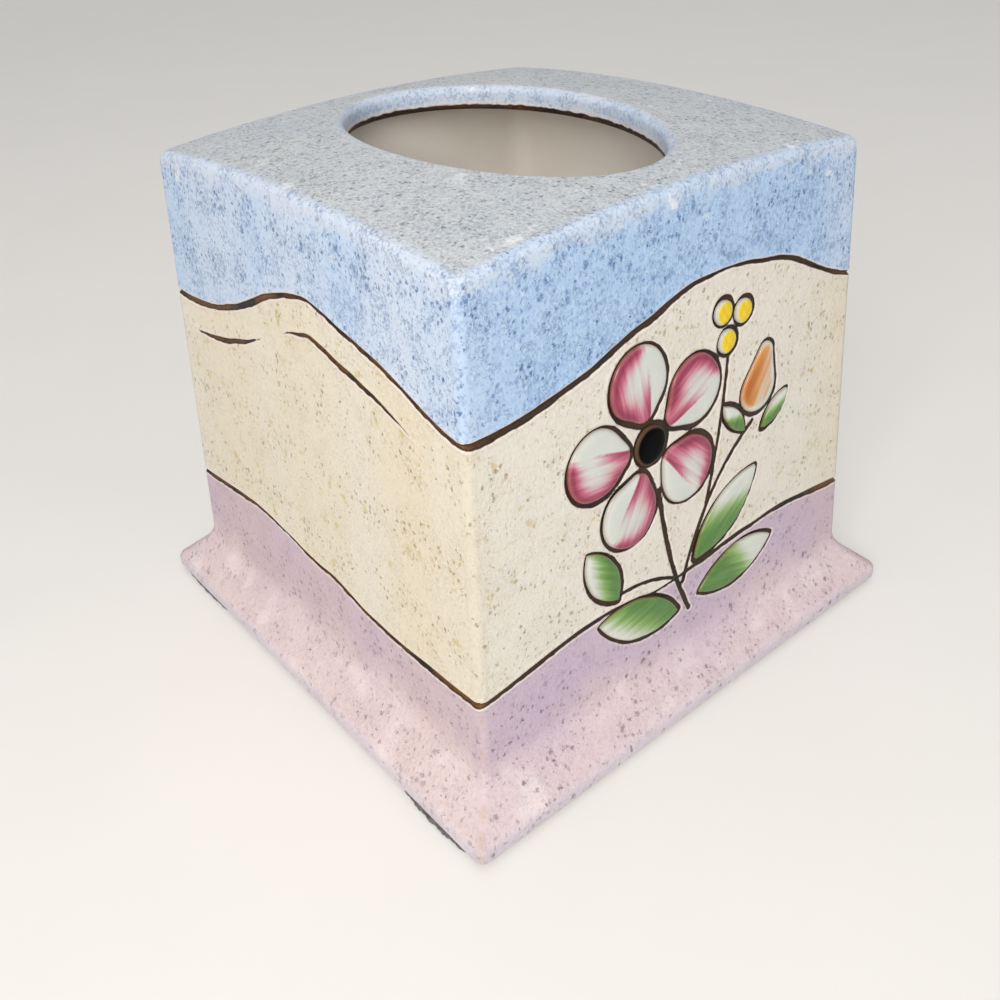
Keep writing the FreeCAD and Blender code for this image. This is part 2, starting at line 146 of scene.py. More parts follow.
def plan_points(plan, half, corner):
    """x and y of every column at a half width and a corner radius."""
    return plan[0] * half + plan[1] * corner, plan[2] * half + plan[3] * corner


def reach_along(plan):
    """How far along its side each column lies, from 0 at one mitre to 1 at the next."""
    x, y = plan_points(plan, HALF_AT_SEAT, ARRIS_ROUND)
    steps = np.hypot(np.diff(x), np.diff(y))
    return np.concatenate([[0], np.cumsum(steps)]) / steps.sum()


def ring_plan(straight_steps):
    """All four sides in one closed ring of columns, and the place of each, from 0 to 4 round the ring."""
    side = side_plan(straight_steps)
    ring = np.concatenate([turned_plan(side, quarter)[:, :-1] for quarter in range(QUARTERS)], axis=1)
    reach = reach_along(side)[:-1]
    return ring, np.concatenate([quarter + reach for quarter in range(QUARTERS)])


def from_mitre(place):
    """Distance from the nearest mitre."""
    return np.abs(place - np.round(place)) * 2 * HALF_AT_SEAT


def eaves_of(plan):
    """Half width and height of the line where the walls would meet the crown, for every column: the
    wall narrows as it rises, so the two are found together in a few rounds."""
    half = CORNER_HALF * np.ones(plan.shape[1])
    for _ in range(EAVES_ROUNDS):
        half = half_width(crown_height(*plan_points(plan, half, ARRIS_ROUND)))
    return half, crown_height(*plan_points(plan, half, ARRIS_ROUND))


print("columns on a side with 100 steps:", side_plan(100).shape[1])

# %% [markdown]
# ## Turning arrays into pieces
# A grid of points becomes quads by numbering: each quad joins a point to its neighbours in the next
# column and the next row.  Rows run up the outside, and columns run anticlockwise seen from above, so
# all the faces look outwards.  The values that the glazes need are stored on the points as attributes.

# %% Mesh helpers
SHARP_ANGLE = math.radians(38)


def grid_faces(rows, columns, close_rows, close_columns):
    """Quads between neighbouring rows and columns.  A closed direction also joins its last to its first."""
    row = np.arange(rows if close_rows else rows - 1)[:, None]
    column = np.arange(columns if close_columns else columns - 1)[None, :]
    next_row, next_column = (row + 1) % rows, (column + 1) % columns
    corners = np.broadcast_arrays(row * columns + column, row * columns + next_column,
                                  next_row * columns + next_column, next_row * columns + column)
    return np.stack(corners, axis=-1).reshape(-1, 4).tolist()


def make_piece(name, points, faces, nodes, values=None, uv=None):
    """A mesh object at the origin from points in millimetres, riding on the cover in place of CAD nodes.
    A value that is given once for a row, a column or the whole piece is spread over its points."""
    mesh = bpy.data.meshes.new(name)
    mesh.from_pydata((points.reshape(-1, 3) * MM).tolist(), [], faces)
    for title, numbers in (values or {}).items():
        attribute = mesh.attributes.new(title, "FLOAT", "POINT")
        spread = np.broadcast_to(numbers, points.shape[:-1]).astype(np.float32)
        attribute.data.foreach_set("value", spread.ravel())
    if uv is not None:
        corner_points = np.empty(len(mesh.loops), dtype=np.int32)
        mesh.loops.foreach_get("vertex_index", corner_points)
        layer = mesh.uv_layers.new(name="brush")
        layer.data.foreach_set("uv", uv.reshape(-1, 2)[corner_points].astype(np.float32).ravel())
    mesh.shade_smooth()
    mesh.set_sharp_from_angle(angle=SHARP_ANGLE)
    piece = bpy.data.objects.new(name, mesh)
    bpy.context.collection.objects.link(piece)
    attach(piece, "root")
    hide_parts(*nodes)
    mesh.calc_loop_triangles()
    print(f"{name}: {len(mesh.loop_triangles)} triangles")
    return piece


def smooth_step(low, high, value):
    """0 below low, 1 above high, and 3 t^2 - 2 t^3 between them."""
    t = np.clip((value - low) / (high - low), 0, 1)
    return t * t * (3 - 2 * t)


print("quads in a grid of 3 rows and 4 columns:", len(grid_faces(3, 4, False, False)))

# %% [markdown]
# ## The incised lines
# On the real cover a loop tool cuts a line into the soft clay, and brown glaze runs into it.  One line
# rolls round the walls between blue and cream and another between cream and lilac.  Painting them would
# be easy, but a line cut into the surface catches light along its edges, so the walls' rows of points
# are made to follow the lines, and the cut is part of the mesh.

# %% Heights of the two lines
UPPER_HEIGHTS = [104, 108, 117.5, 116, 103, 106, 117, 110, 99, 106, 116, 112, 100, 104, 117, 113]
LOWER_HEIGHTS = [38, 42, 39.5, 42, 38.5, 36.5, 41, 43, 38.5, 36, 40, 42.5, 40, 43, 40.5, 37]
SIDE_LENGTH = 2 * HALF_AT_SEAT


def line_through(heights, place):
    """A smooth closed line through evenly spaced heights (a Catmull-Rom curve), with a slight tremor of the
    hand that dies away at the mitres; place runs from 0 to 4 round the walls."""
    heights = np.array(heights, dtype=float)
    spot = place * len(heights) / QUARTERS
    index = np.floor(spot).astype(int)
    t = spot - index
    before, start, end, after = (heights[(index + step) % len(heights)] for step in (-1, 0, 1, 2))
    curve = (2 * start + (end - before) * t + (2 * before - 5 * start + 4 * end - after) * t ** 2
             + (3 * start - before - 3 * end + after) * t ** 3) / 2
    tremor = (0.4 * np.sin(23.0 * place + 1.0) + 0.22 * np.sin(41.0 * place)
              + 0.07 * np.sin(83.0 * place + 2.0))
    return curve + tremor * np.sin(math.pi * (place % 1)) ** 2


def steepness(heights, place):
    """sqrt(1 + slope^2) of a line, to turn heights above it into distances from it."""
    step = 0.002
    rise = line_through(heights, place + step) - line_through(heights, place - step)
    return np.hypot(1, rise / (2 * step * SIDE_LENGTH))


def above_line(heights_of_line, heights, place):
    """Distance above a line: the height over it, shortened by the line's steepness."""
    return (heights - line_through(heights_of_line, place)) / steepness(heights_of_line, place)


def line_half_width(place, phase):
    """The hand's changing pressure: about 0.7 mm to each side, swelling and thinning along the line."""
    return (0.72 + 0.20 * np.sin(2 * math.pi * place + phase) + 0.12 * np.sin(17.0 * place + 2 * phase)
            + 0.05 * np.sin(47.0 * place + phase))


samples = np.linspace(0, QUARTERS, 400)
print(f"upper line {line_through(UPPER_HEIGHTS, samples).min():.0f}"
      f" to {line_through(UPPER_HEIGHTS, samples).max():.0f} mm high")

# %% Ripple strokes and the cut's cross-section
RIPPLE_DROP = 9.0
RIPPLES = [(1.40, 0.20), (1.80, 0.12), (2.30, 0.18), (2.74, 0.14), (3.22, 0.15), (3.66, 0.20)]
RIPPLE_WIDTH, RIPPLE_FALL = 0.8, 30.0
CUT_DEPTH, CUT_START, CUT_SPREAD = 0.55, 0.15, 0.9
CUT_LIP, CUT_LIP_PLACE, CUT_LIP_SPREAD = 0.14, 0.5, 0.4


def ripple_half_width(place):
    """Short strokes under the upper line: full in the middle of each, tapering to nothing at its ends,
    and falling steeply past them, so that nothing of the stroke is left there."""
    shares = [np.abs(place - middle) / half for middle, half in RIPPLES]
    tapers = [np.where(share < 1, RIPPLE_WIDTH * (1 - share ** 2), RIPPLE_FALL * (1 - share))
              for share in shares]
    return np.max(tapers, axis=0)


def cut_height(ink):
    """Height of the clay at a distance from the line's edge, negative inside: a smooth step down into
    the cut, and a low lip just outside it, where the tool pushed the clay up."""
    lip = CUT_LIP * np.exp(-((ink - CUT_LIP_PLACE) / CUT_LIP_SPREAD) ** 2)
    return lip - CUT_DEPTH * smooth_step(0, 1, (CUT_START - ink) / CUT_SPREAD)


print("depth at the middle of a full line:", round(float(-cut_height(np.array(-0.9))), 2), "mm")

# %% [markdown]
# ## The spray's own drawing plane
# The flower, leaves, bud and berries are CAD nodes lying on the front wall.  Their outlines are read
# from the nodes, in a flat frame on the wall: across, up and out.  A hull of directions finds the outline:
# the point of the node that lies furthest in each direction belongs to it.

# %% The wall's frame and the outlines
LEAN = math.atan(WALL_SLOPE)
HULL_TURNS, FINE_STEPS, OUTLINE_STEPS = 720, 1200, 128
WALL_ORIGIN = np.array([0.0, -HALF_AT_FOOT, FOOT_TOP])
WALL_ACROSS = np.array([1.0, 0.0, 0.0])
WALL_UP = np.array([0.0, math.sin(LEAN), math.cos(LEAN)])
WALL_OUT = np.array([0.0, -math.cos(LEAN), math.sin(LEAN)])


def node_points(name):
    """A node's vertices in the wall's frame, in millimetres."""
    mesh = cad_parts[name].data
    points = np.empty(len(mesh.vertices) * 3)
    mesh.vertices.foreach_get("co", points)
    offset = points.reshape(-1, 3) / MM - WALL_ORIGIN
    return np.stack([offset @ WALL_ACROSS, offset @ WALL_UP, offset @ WALL_OUT], axis=1)


def node_outline(name):
    """The outline of a convex node on the wall, as its middle and the radius at evenly spaced turns."""
    flat = node_points(name)[:, :2]
    turns = np.linspace(0, 2 * math.pi, HULL_TURNS, endpoint=False)
    furthest = np.argmax(flat @ np.stack([np.cos(turns), np.sin(turns)]), axis=0)
    hull = flat[furthest[furthest != np.roll(furthest, 1)]]
    middle = (hull.min(axis=0) + hull.max(axis=0)) / 2
    closed = np.concatenate([hull, hull[:1]])
    along = np.concatenate([[0], np.cumsum(np.hypot(*np.diff(closed, axis=0).T))])
    fine = np.linspace(0, along[-1], FINE_STEPS, endpoint=False)
    x, y = (np.interp(fine, along, closed[:, axis]) - middle[axis] for axis in (0, 1))
    even = np.linspace(0, 2 * math.pi, OUTLINE_STEPS, endpoint=False)
    return middle, even, np.interp(even, np.arctan2(y, x), np.hypot(x, y), period=2 * math.pi)


PETALS = [f"petal_{number}" for number in range(1, 6)]
LEAVES = ["upper_left_leaf", "lower_left_leaf", "upper_right_leaf", "lower_right_leaf",
          "left_sepal", "right_sepal"]
BERRIES = [f"berry_{number}" for number in range(1, 4)]
SPRAY = PETALS + ["flower_centre", "bud"] + LEAVES + BERRIES
outlines = {name: node_outline(name) for name in SPRAY}
print("outlines:", len(outlines), "pieces of the spray")

# %% [markdown]
# The stems are lines cut like the others: each is a bent stroke through three points (a quadratic curve),
# and the distance from a point of the wall to a stroke is the least distance to any of its short spans.

# %% Stems and distances on the wall
spray_low = np.min([node_points(name).min(axis=0) for name in SPRAY], axis=0)
spray_high = np.max([node_points(name).max(axis=0) for name in SPRAY], axis=0)
SPRAY_HEIGHT = spray_high[1] - spray_low[1]
SPRAY_MIDDLE = np.array([0.0, (spray_low[1] + spray_high[1]) / 2])
NO_INK = 4.0
RIM_LINE, RIM_SWELL = 1.0, 0.3
STEM_SHARES = [
    ((-0.108, 0.01), (-0.07, -0.28), (0.03, -0.49), 0.8),
    ((0.00, -0.37), (0.10, -0.05), (0.305, 0.07), 0.7),
    ((0.10, -0.13), (0.16, 0.10), (0.18, 0.33), 0.6),
    ((-0.279, -0.275), (-0.16, -0.27), (-0.045, -0.335), 0.6),
    ((0.19, 0.35), (0.20, 0.40), (0.215, 0.41), 0.5),
]


def bent_stroke(first, bend, last, steps=24):
    """Points of the curve (1 - t)^2 first + 2 t (1 - t) bend + t^2 last."""
    t = np.linspace(0, 1, steps + 1)[:, None]
    return (1 - t) ** 2 * np.array(first) + 2 * t * (1 - t) * np.array(bend) + t ** 2 * np.array(last)


def distance_to_path(x, y, path):
    """Least distance from each point to the spans of a path: the point is dropped on to every span."""
    start, span = path[:-1], np.diff(path, axis=0)
    to_x, to_y = x[:, None] - start[:, 0], y[:, None] - start[:, 1]
    along = np.clip((to_x * span[:, 0] + to_y * span[:, 1]) / (span ** 2).sum(axis=1), 0, 1)
    return np.hypot(to_x - along * span[:, 0], to_y - along * span[:, 1]).min(axis=1)


def ink_near(x, y, path, half_width_of_line):
    """Distance from the line's edge for the points near a path, and a large number elsewhere."""
    ink = np.full(x.shape, NO_INK)
    low, high = path.min(axis=0) - NO_INK, path.max(axis=0) + NO_INK
    near = (x > low[0]) & (x < high[0]) & (y > low[1]) & (y < high[1])
    ink[near] = distance_to_path(x[near], y[near], path) - half_width_of_line
    return ink


def spray_ink(x, y):
    """The smallest distance to any outline or stem of the spray."""
    ink = np.full(x.shape, NO_INK)
    for middle, turns, radius in outlines.values():
        rim = middle + radius[:, None] * np.stack([np.cos(turns), np.sin(turns)], axis=1)
        path = np.concatenate([rim, rim[:1]])
        swell = RIM_SWELL * np.sin(np.arctan2(y - middle[1], x - middle[0]) + middle[0])
        ink = np.minimum(ink, ink_near(x, y, path, RIM_LINE) - swell)
    for first, bend, last, width in STEM_SHARES:
        path = SPRAY_MIDDLE + SPRAY_HEIGHT * bent_stroke(first, bend, last)
        ink = np.minimum(ink, ink_near(x, y, path, width))
    return ink


print(f"spray {SPRAY_HEIGHT:.0f} mm high, {len(STEM_SHARES)} stems")

# %% [markdown]
# ## The walls
# A wall is a slab: the outer face, the seat for the roof, the inner face and the joint on the foot, as one
# loop of rows carried from mitre to mitre, with a flat end at each mitre.  Rows crowd where a line is cut,
# and on the front wall they are fine all over, because the spray's outlines run in every direction.

# %% Where the glaze was sprayed thin
THIN_PATCHES = [
    (3.96, 0.06, 0.8), (3.84, 0.15, 1.0), (3.52, 0.20, 0.85), (3.22, 0.25, 0.85),
    (0.97, 0.08, 0.6), (1.55, 0.12, 0.8), (2.10, 0.22, 1.0), (2.75, 0.12, 0.7),
]


def thin_glaze(place):
    """Soft patches round the walls, each a bell curve about its middle, for places from 0 to 4."""
    bells = []
    for middle, half, weight in THIN_PATCHES:
        away = (place - middle + QUARTERS / 2) % QUARTERS - QUARTERS / 2
        bells.append(weight * np.exp(-(away / half) ** 2))
    return np.max(bells, axis=0)


print("thinnest at", samples[np.argmax(thin_glaze(samples))].round(2))

# %% Rows that follow the lines
LINE_MARGIN = 2.6
LINE_ROWS = 20
ROWS_BELOW, ROWS_BETWEEN, ROWS_OVER_RIPPLES, ROWS_ABOVE = 8, 32, 4, 10
FRONT_ROWS_BELOW, FRONT_ROWS_BETWEEN = 34, 148


def rows_between(breaks, counts):
    """Rows spaced evenly between neighbouring break lines, each given as an array over the columns."""
    parts = [low + (high - low) * np.arange(count)[:, None] / count
             for low, high, count in zip(breaks, breaks[1:], counts)]
    return np.concatenate(parts + [breaks[-1][None, :]])


def wall_heights(place, front):
    """Heights of a wall's outer rows: close together across each line, wider between the lines."""
    upper, lower = line_through(UPPER_HEIGHTS, place), line_through(LOWER_HEIGHTS, place)
    flat = np.ones_like(place)
    ends = [lower - LINE_MARGIN, lower + LINE_MARGIN]
    if front:
        counts = [FRONT_ROWS_BELOW, LINE_ROWS, FRONT_ROWS_BETWEEN]
    else:
        ripple = upper - RIPPLE_DROP
        ends += [ripple - LINE_MARGIN, ripple + LINE_MARGIN]
        counts = [ROWS_BELOW, LINE_ROWS, ROWS_BETWEEN, LINE_ROWS, ROWS_OVER_RIPPLES]
    ends += [upper - LINE_MARGIN, upper + LINE_MARGIN]
    counts += [LINE_ROWS, ROWS_ABOVE]
    return rows_between([FOOT_TOP * flat] + ends + [SEAT * flat], counts)


print("rows up the front wall:", len(wall_heights(samples, True)),
      "and up another:", len(wall_heights(samples, False)))

# %% Build the four walls
WALL_SIDES = ["front", "right", "back", "left"]
FRONT_COLUMNS, WALL_COLUMNS = 272, 150
INNER_ROWS = 5
UNEVENNESS = 0.12
CALM_EDGE = 0.02
FAR = 50.0


def wall_piece(quarter, side):
    """A wall slab: its outer face leans in with the height and is cut by the lines."""
    front = side == "front"
    base = side_plan(FRONT_COLUMNS if front else WALL_COLUMNS)
    plan, place = turned_plan(base, quarter), quarter + reach_along(base)
    heights = wall_heights(place, front)
    spread = np.broadcast_to(place, heights.shape)
    above_upper = above_line(UPPER_HEIGHTS, heights, place)
    above_lower = above_line(LOWER_HEIGHTS, heights, place)
    ink = np.minimum(np.abs(above_upper) - line_half_width(spread, 0.4),
                     np.abs(above_lower) - line_half_width(spread, 2.1))
    x, y = plan_points(plan, half_width(heights), ARRIS_ROUND)
    if front:
        up = (heights - FOOT_TOP) / math.cos(LEAN)
        ink = np.minimum(ink, spray_ink(x.ravel(), up.ravel()).reshape(x.shape))
    else:
        ink = np.minimum(ink, np.abs(above_upper + RIPPLE_DROP) - ripple_half_width(spread))
    rise = (heights - FOOT_TOP) / (SEAT - FOOT_TOP)
    calm = np.sin(math.pi * rise) * np.sin(math.pi * (spread % 1))
    wave = UNEVENNESS * calm * np.sin(7.0 * spread + 3 * rise) * np.cos(5.0 * rise + 2 * quarter)
    push = cut_height(ink) * smooth_step(0, CALM_EDGE, rise) * smooth_step(0, CALM_EDGE, 1 - rise) + wave
    out_x, out_y = plan[0] + plan[1], plan[2] + plan[3]
    outer = np.stack([x + push * out_x * math.cos(LEAN), y + push * out_y * math.cos(LEAN),
                      heights + push * math.sin(LEAN)], axis=-1)
    inner_heights = np.linspace(SEAT, FOOT_TOP, INNER_ROWS)[:, None] * np.ones_like(place)
    inner_x, inner_y = plan_points(plan, half_width(inner_heights) - WALL_THICKNESS, INNER_ROUND)
    inner = np.stack([inner_x, inner_y, inner_heights], axis=-1)
    points = np.concatenate([outer, inner])
    rows, columns = points.shape[:2]
    faces = grid_faces(rows, columns, True, False)
    loop = np.arange(rows) * columns
    faces += [loop.tolist(), (loop + columns - 1)[::-1].tolist()]

    def with_inner(outer_values, inner_value):
        """Values for the outer rows, and one value for all the inner ones."""
        return np.concatenate([outer_values, np.full(inner.shape[:2], inner_value)])

    values = {
        "above_upper": with_inner(above_upper, -FAR),
        "above_lower": with_inner(above_lower, FAR),
        "ink": with_inner(ink, NO_INK),
        "edge": with_inner(eaves_of(plan)[1] - heights, FAR),
        "mitre": from_mitre(place),
        "thin": thin_glaze(place),
        "top": 0,
        "liner": np.arange(rows)[:, None] >= len(heights),
    }
    return make_piece(f"{side}_wall_slab", points, faces, [f"{side}_wall"], values)


walls = [wall_piece(quarter, side) for quarter, side in enumerate(WALL_SIDES)]

# %% [markdown]
# ## The foot
# The foot is a moulding: an upright lip, a slope up from it and a hollow cove into the wall.  Its profile
# is a few corners, each rounded by the arc that touches both of its sides, and carried once round the
# plan.  One closed ring stands for the four mitred lengths, so the glaze runs unbroken round the corners.

# %% Profile and ring of the foot
ARC_STEPS = 10
FOOT_STEP = 1.2
FOOT_COLUMNS = 130
SAME = 1e-6


def rounded_path(corners, radii):
    """A closed path whose corners are arcs: each arc's centre lies on the line that halves the corner,
    radius / sin(half angle) away, and its points swing evenly between the two touching points."""
    corners, path = np.array(corners, dtype=float), []
    neighbours = zip(np.roll(corners, 1, 0), corners, np.roll(corners, -1, 0), radii)
    for before, corner, after, radius in neighbours:
        if radius == 0:
            path.append(corner[None])
            continue
        back, ahead = before - corner, after - corner
        back, ahead = back / np.linalg.norm(back), ahead / np.linalg.norm(ahead)
        half_angle = math.acos(back @ ahead) / 2
        halving = (back + ahead) / np.linalg.norm(back + ahead)
        centre = corner + halving * radius / math.sin(half_angle)
        start = corner + back * radius / math.tan(half_angle) - centre
        end = corner + ahead * radius / math.tan(half_angle) - centre
        swing = math.pi - 2 * half_angle
        t = np.linspace(0, 1, ARC_STEPS + 1)[:, None]
        arc = np.sin((1 - t) * swing) * start + np.sin(t * swing) * end
        path.append(centre + arc / math.sin(swing))
    return np.concatenate(path)


def dense_path(path, step):
    """The closed path with extra points, so that no span is longer than the step."""
    parts = []
    for start, end in zip(path, np.roll(path, -1, 0)):
        count = max(1, math.ceil(np.linalg.norm(end - start) / step))
        parts.append(start + (end - start) * np.arange(count)[:, None] / count)
    return np.concatenate(parts)


def foot_piece():
    """The foot's profile, from the lip up to the wall and down the inside, carried round the plan."""
    rise = FOOT_UNDERSIDE + SKIRT_RISE
    corners = [
        (LIP_HALF, FOOT_UNDERSIDE),
        (LIP_HALF, FOOT_UNDERSIDE + LIP_HEIGHT),
        (half_width(rise), rise),
        (half_width(FOOT_TOP), FOOT_TOP),
        (half_width(FOOT_TOP) - WALL_THICKNESS, FOOT_TOP),
        (half_width(FOOT_UNDERSIDE) - WALL_THICKNESS, FOOT_UNDERSIDE),
    ]
    roundings = [UNDER_ROUND, LIP_ROUND, COVE_ROUND, 0, 0, UNDER_ROUND]
    path = dense_path(rounded_path(corners, roundings), FOOT_STEP)
    half, height = path[:, :1], path[:, 1:]
    plan, place = ring_plan(FOOT_COLUMNS)
    inside = half < half_width(height) - WALL_THICKNESS + SAME
    x, y = plan_points(plan, half, np.where(inside, INNER_ROUND, ARRIS_ROUND))
    points = np.stack([x, y, height * np.ones_like(x)], axis=-1)
    rows, columns = x.shape
    lip = np.hypot(half - LIP_HALF, height - FOOT_UNDERSIDE - LIP_HEIGHT)
    values = {"above_upper": -FAR, "above_lower": -FAR, "ink": NO_INK, "edge": lip + 1,
              "mitre": from_mitre(place), "thin": thin_glaze(place), "top": 0, "liner": inside}
    nodes = [f"{side}_foot" for side in WALL_SIDES]
    return make_piece("foot_moulding", points, grid_faces(rows, columns, True, True),
                      nodes, values)


foot = foot_piece()

# %% [markdown]
# ## The roof
# The roof is crowned both ways, part of a very large ball, and its edges are rounded all along.  The rows
# run from the seat up the outside, over the eaves, in over the crown, down through the oval opening and
# back along the underside.  Over the crown each row is a mixture of the square and the oval, taken along
# the same ray from the middle, so the grid flows from one outline into the other.  Glaze runs off the sides
# of the opening, so they count as lying past an edge, where the blue is paler and partly a painted
# highlight, and a band along its lower rim is coloured as brown as the lines.

# %% Build the roof
ROOF_COLUMNS = 96
SIDE_ROWS, ROUND_ROWS, CROWN_ROWS, EASE_ROWS, UNDER_ROWS = 5, 8, 40, 5, 14
LOWER_RIM_INK, HOLE_INK = -0.3, 0.5
MITRE_FADE = 40.0
MOUTH_RUN = 3.0
TOP_START, TOP_FROM_EAVES, TOP_FROM_RIM = 0.2, 4.2, 2.8


def oval_points(x, y, grow):
    """The oval, grown outwards, on the rays through some points: 1 / sqrt((cos/a)^2 + (sin/b)^2)."""
    turn = np.arctan2(y, x)
    reach = 1 / np.hypot(np.cos(turn) / (OPENING_HALF_X + grow), np.sin(turn) / (OPENING_HALF_Y + grow))
    return reach * np.cos(turn), reach * np.sin(turn)


def roof_piece():
    """The closed loop of rows round the roof slab's section, for every column of the plan."""
    plan, round_place = ring_plan(ROOF_COLUMNS)
    eaves_half, eaves_top = eaves_of(plan)
    rows, names = [], []

    def add_row(x, y, z, name):
        """One row of points, and the name of the part of the section that it lies on."""
        rows.append(np.stack([x, y, z * np.ones_like(x)], axis=-1))
        names.append(name)

    for share in np.linspace(0, 1, SIDE_ROWS + 1)[:-1]:
        z = SEAT + (eaves_top - EAVES_ROUND - SEAT) * share
        add_row(*plan_points(plan, half_width(z), ARRIS_ROUND), z, "side")
    for turn in np.linspace(0, math.pi / 2, ROUND_ROWS + 1):
        half = eaves_half - EAVES_ROUND * (1 - math.cos(turn))
        x, y = plan_points(plan, half, ARRIS_ROUND)
        add_row(x, y, crown_height(x, y) - EAVES_ROUND * (1 - math.sin(turn)), "eaves")
    square = plan_points(plan, eaves_half - EAVES_ROUND, ARRIS_ROUND)
    oval = oval_points(*square, RIM_ROUND)
    for share in np.linspace(0, 1, CROWN_ROWS + 1)[1:]:
        x, y = (a + (b - a) * share for a, b in zip(square, oval))
        add_row(x, y, crown_height(x, y), "crown")
    rim_height = crown_height(*oval)
    for turn in np.linspace(0, math.pi / 2, ROUND_ROWS + 1)[1:]:
        x, y = oval_points(*square, RIM_ROUND * (1 - math.sin(turn)))
        add_row(x, y, rim_height - RIM_ROUND * (1 - math.cos(turn)), "rim")
    edge = oval_points(*square, 0)
    under_edge = crown_height(*edge, ROOF_THICKNESS)
    for share in (0.5, 1.0):
        start = rim_height - RIM_ROUND
        add_row(*edge, start + (under_edge + RIM_EASE - start) * share, "hole" if share < 1 else "bare")
    for turn in np.linspace(0, math.pi / 2, EASE_ROWS + 1)[1:]:
        x, y = oval_points(*square, RIM_EASE * (1 - math.cos(turn)))
        add_row(x, y, under_edge + RIM_EASE * (1 - math.sin(turn)), "bare")
    inner_half = half_width(SEAT) - WALL_THICKNESS
    inner = plan_points(plan, inner_half, INNER_ROUND)
    outer_oval = oval_points(*inner, RIM_EASE)
    for share in np.linspace(0, 1, UNDER_ROWS + 1)[1:]:
        x, y = (a + (b - a) * share for a, b in zip(outer_oval, inner))
        add_row(x, y, crown_height(x, y, ROOF_THICKNESS), "under")
    add_row(*inner, SEAT, "under")
    points = np.array(rows)
    place = np.array(names)[:, None]
    count, columns = points.shape[:2]
    reach = np.max(np.abs(points[..., :2]), axis=-1)
    inwards, over = eaves_half - reach, place != "side"
    from_eaves = np.where(over, np.abs(inwards), eaves_top - points[..., 2])
    from_rim = np.hypot(points[..., 0] - edge[0], points[..., 1] - edge[1])
    top = smooth_step(TOP_START, TOP_FROM_EAVES, inwards) * smooth_step(TOP_START, TOP_FROM_RIM, from_rim)
    values = {
        "above_upper": FAR,
        "above_lower": FAR,
        # Rows along the opening's lower rim are coloured as brown as the lines.
        "ink": np.select([place == "bare", place == "hole"], [LOWER_RIM_INK, HOLE_INK], NO_INK),
        "edge": np.minimum(from_eaves, from_rim) - MOUTH_RUN * np.isin(place, ("rim", "hole", "bare")),
        "mitre": from_mitre(round_place) + MITRE_FADE * np.clip(inwards, 0, 1) * over,
        "thin": thin_glaze(round_place),
        "top": top * over,
        "liner": place == "under",
    }
    return make_piece("crowned_roof", points, grid_faces(count, columns, True, True),
                      ["roof"], values)


roof = roof_piece()

# %% [markdown]
# ## The laid-on spray
# Petals, leaves, bud and berries are thin pads of clay pressed on the wall, and thick glossy glaze rounds
# their tops.  A pad is a grid of turns and rings: the outline shrinks towards its middle while its height
# follows a superellipse, flat on top and round at the edge.  A low skirt dips into the brown line, so no
# gap shows, and the outline wavers a little, as a cut by hand does.

# %% Pads
PAD_RINGS = 16
PAD_SINK = 0.35
FLOWER_MIDDLE = outlines["flower_centre"][0]
STEM_FOOT = SPRAY_MIDDLE + SPRAY_HEIGHT * np.array([0.0, -0.36])


def pad_grid(name, root, crown=8.0, lumps=0.0):
    """Rings of a pad: the place is middle + share of the outline, and the height is
    thickness * sqrt(1 - share^crown).  Along and across are measured from the middle, away from a root."""
    middle, turns, radius = outlines[name]
    thickness = node_points(name)[:, 2].max()
    waver = 1 + 0.012 * np.sin(3 * turns + middle[0]) + 0.008 * np.sin(5 * turns + middle[1]) - 0.015
    share = np.concatenate([[1.0, 1.0], 1 - np.linspace(0, 1, PAD_RINGS + 1)[1:-1] ** 1.5])[:, None]
    x = middle[0] + share * radius * waver * np.cos(turns)
    y = middle[1] + share * radius * waver * np.sin(turns)
    height = thickness * np.sqrt(1 - share ** crown) * np.ones_like(x)
    height += lumps * (1 - share ** 4) * np.sin(1.9 * x + 0.6 * y) * np.cos(1.4 * y + x)
    height[0] = -PAD_SINK
    heading = np.arctan2(*(middle - root)[::-1])
    along = (x - middle[0]) * math.cos(heading) + (y - middle[1]) * math.sin(heading)
    across = (y - middle[1]) * math.cos(heading) - (x - middle[0]) * math.sin(heading)
    return x, y, height, along, across, (1 - share) * radius


def pad_piece(name, root, slot, paint_of, **form):
    """A pad as rings of quads, a fan of triangles to its middle and a flat back inside the wall."""
    x, y, height, along, across, rim = pad_grid(name, root, **form)
    rings, columns = x.shape
    flat = np.stack([x, y, height], axis=-1).reshape(-1, 3)
    top = np.append(outlines[name][0], flat[-columns:, 2].mean())
    flat = np.concatenate([flat, top[None]])
    points = WALL_ORIGIN + flat[:, :1] * WALL_ACROSS + flat[:, 1:2] * WALL_UP + flat[:, 2:] * WALL_OUT
    last = (rings - 1) * columns + np.arange(columns)
    fan = np.stack([last, np.roll(last, -1), np.full(columns, rings * columns)], axis=1)
    faces = grid_faces(rings, columns, False, True) + fan.tolist() + [np.arange(columns)[::-1].tolist()]
    length, width = np.ptp(along) / 2, np.ptp(across) / 2
    paint = paint_of(along / length, across / width, rim / rim.max())
    uv = np.stack([along, across], axis=-1)
    uv = np.concatenate([uv.reshape(-1, 2), np.zeros((1, 2))])
    middle_paint = paint_of(np.zeros(1), np.zeros(1), np.ones(1))
    values = {"paint": np.append(paint.ravel(), middle_paint),
              "rim": np.append((rim * np.ones_like(x)).ravel(), rim.max())}
    return make_piece(f"{name}_pad", points, faces, [name], values, uv)


print("points of a pad:", (PAD_RINGS + 1) * OUTLINE_STEPS + 1)

# %% [markdown]
# The colour on a pad is one loaded brush stroke: full at one edge and running out towards the other.  Its
# strength is a formula of the two shares, along the pad and across it, and it is stored on the points.

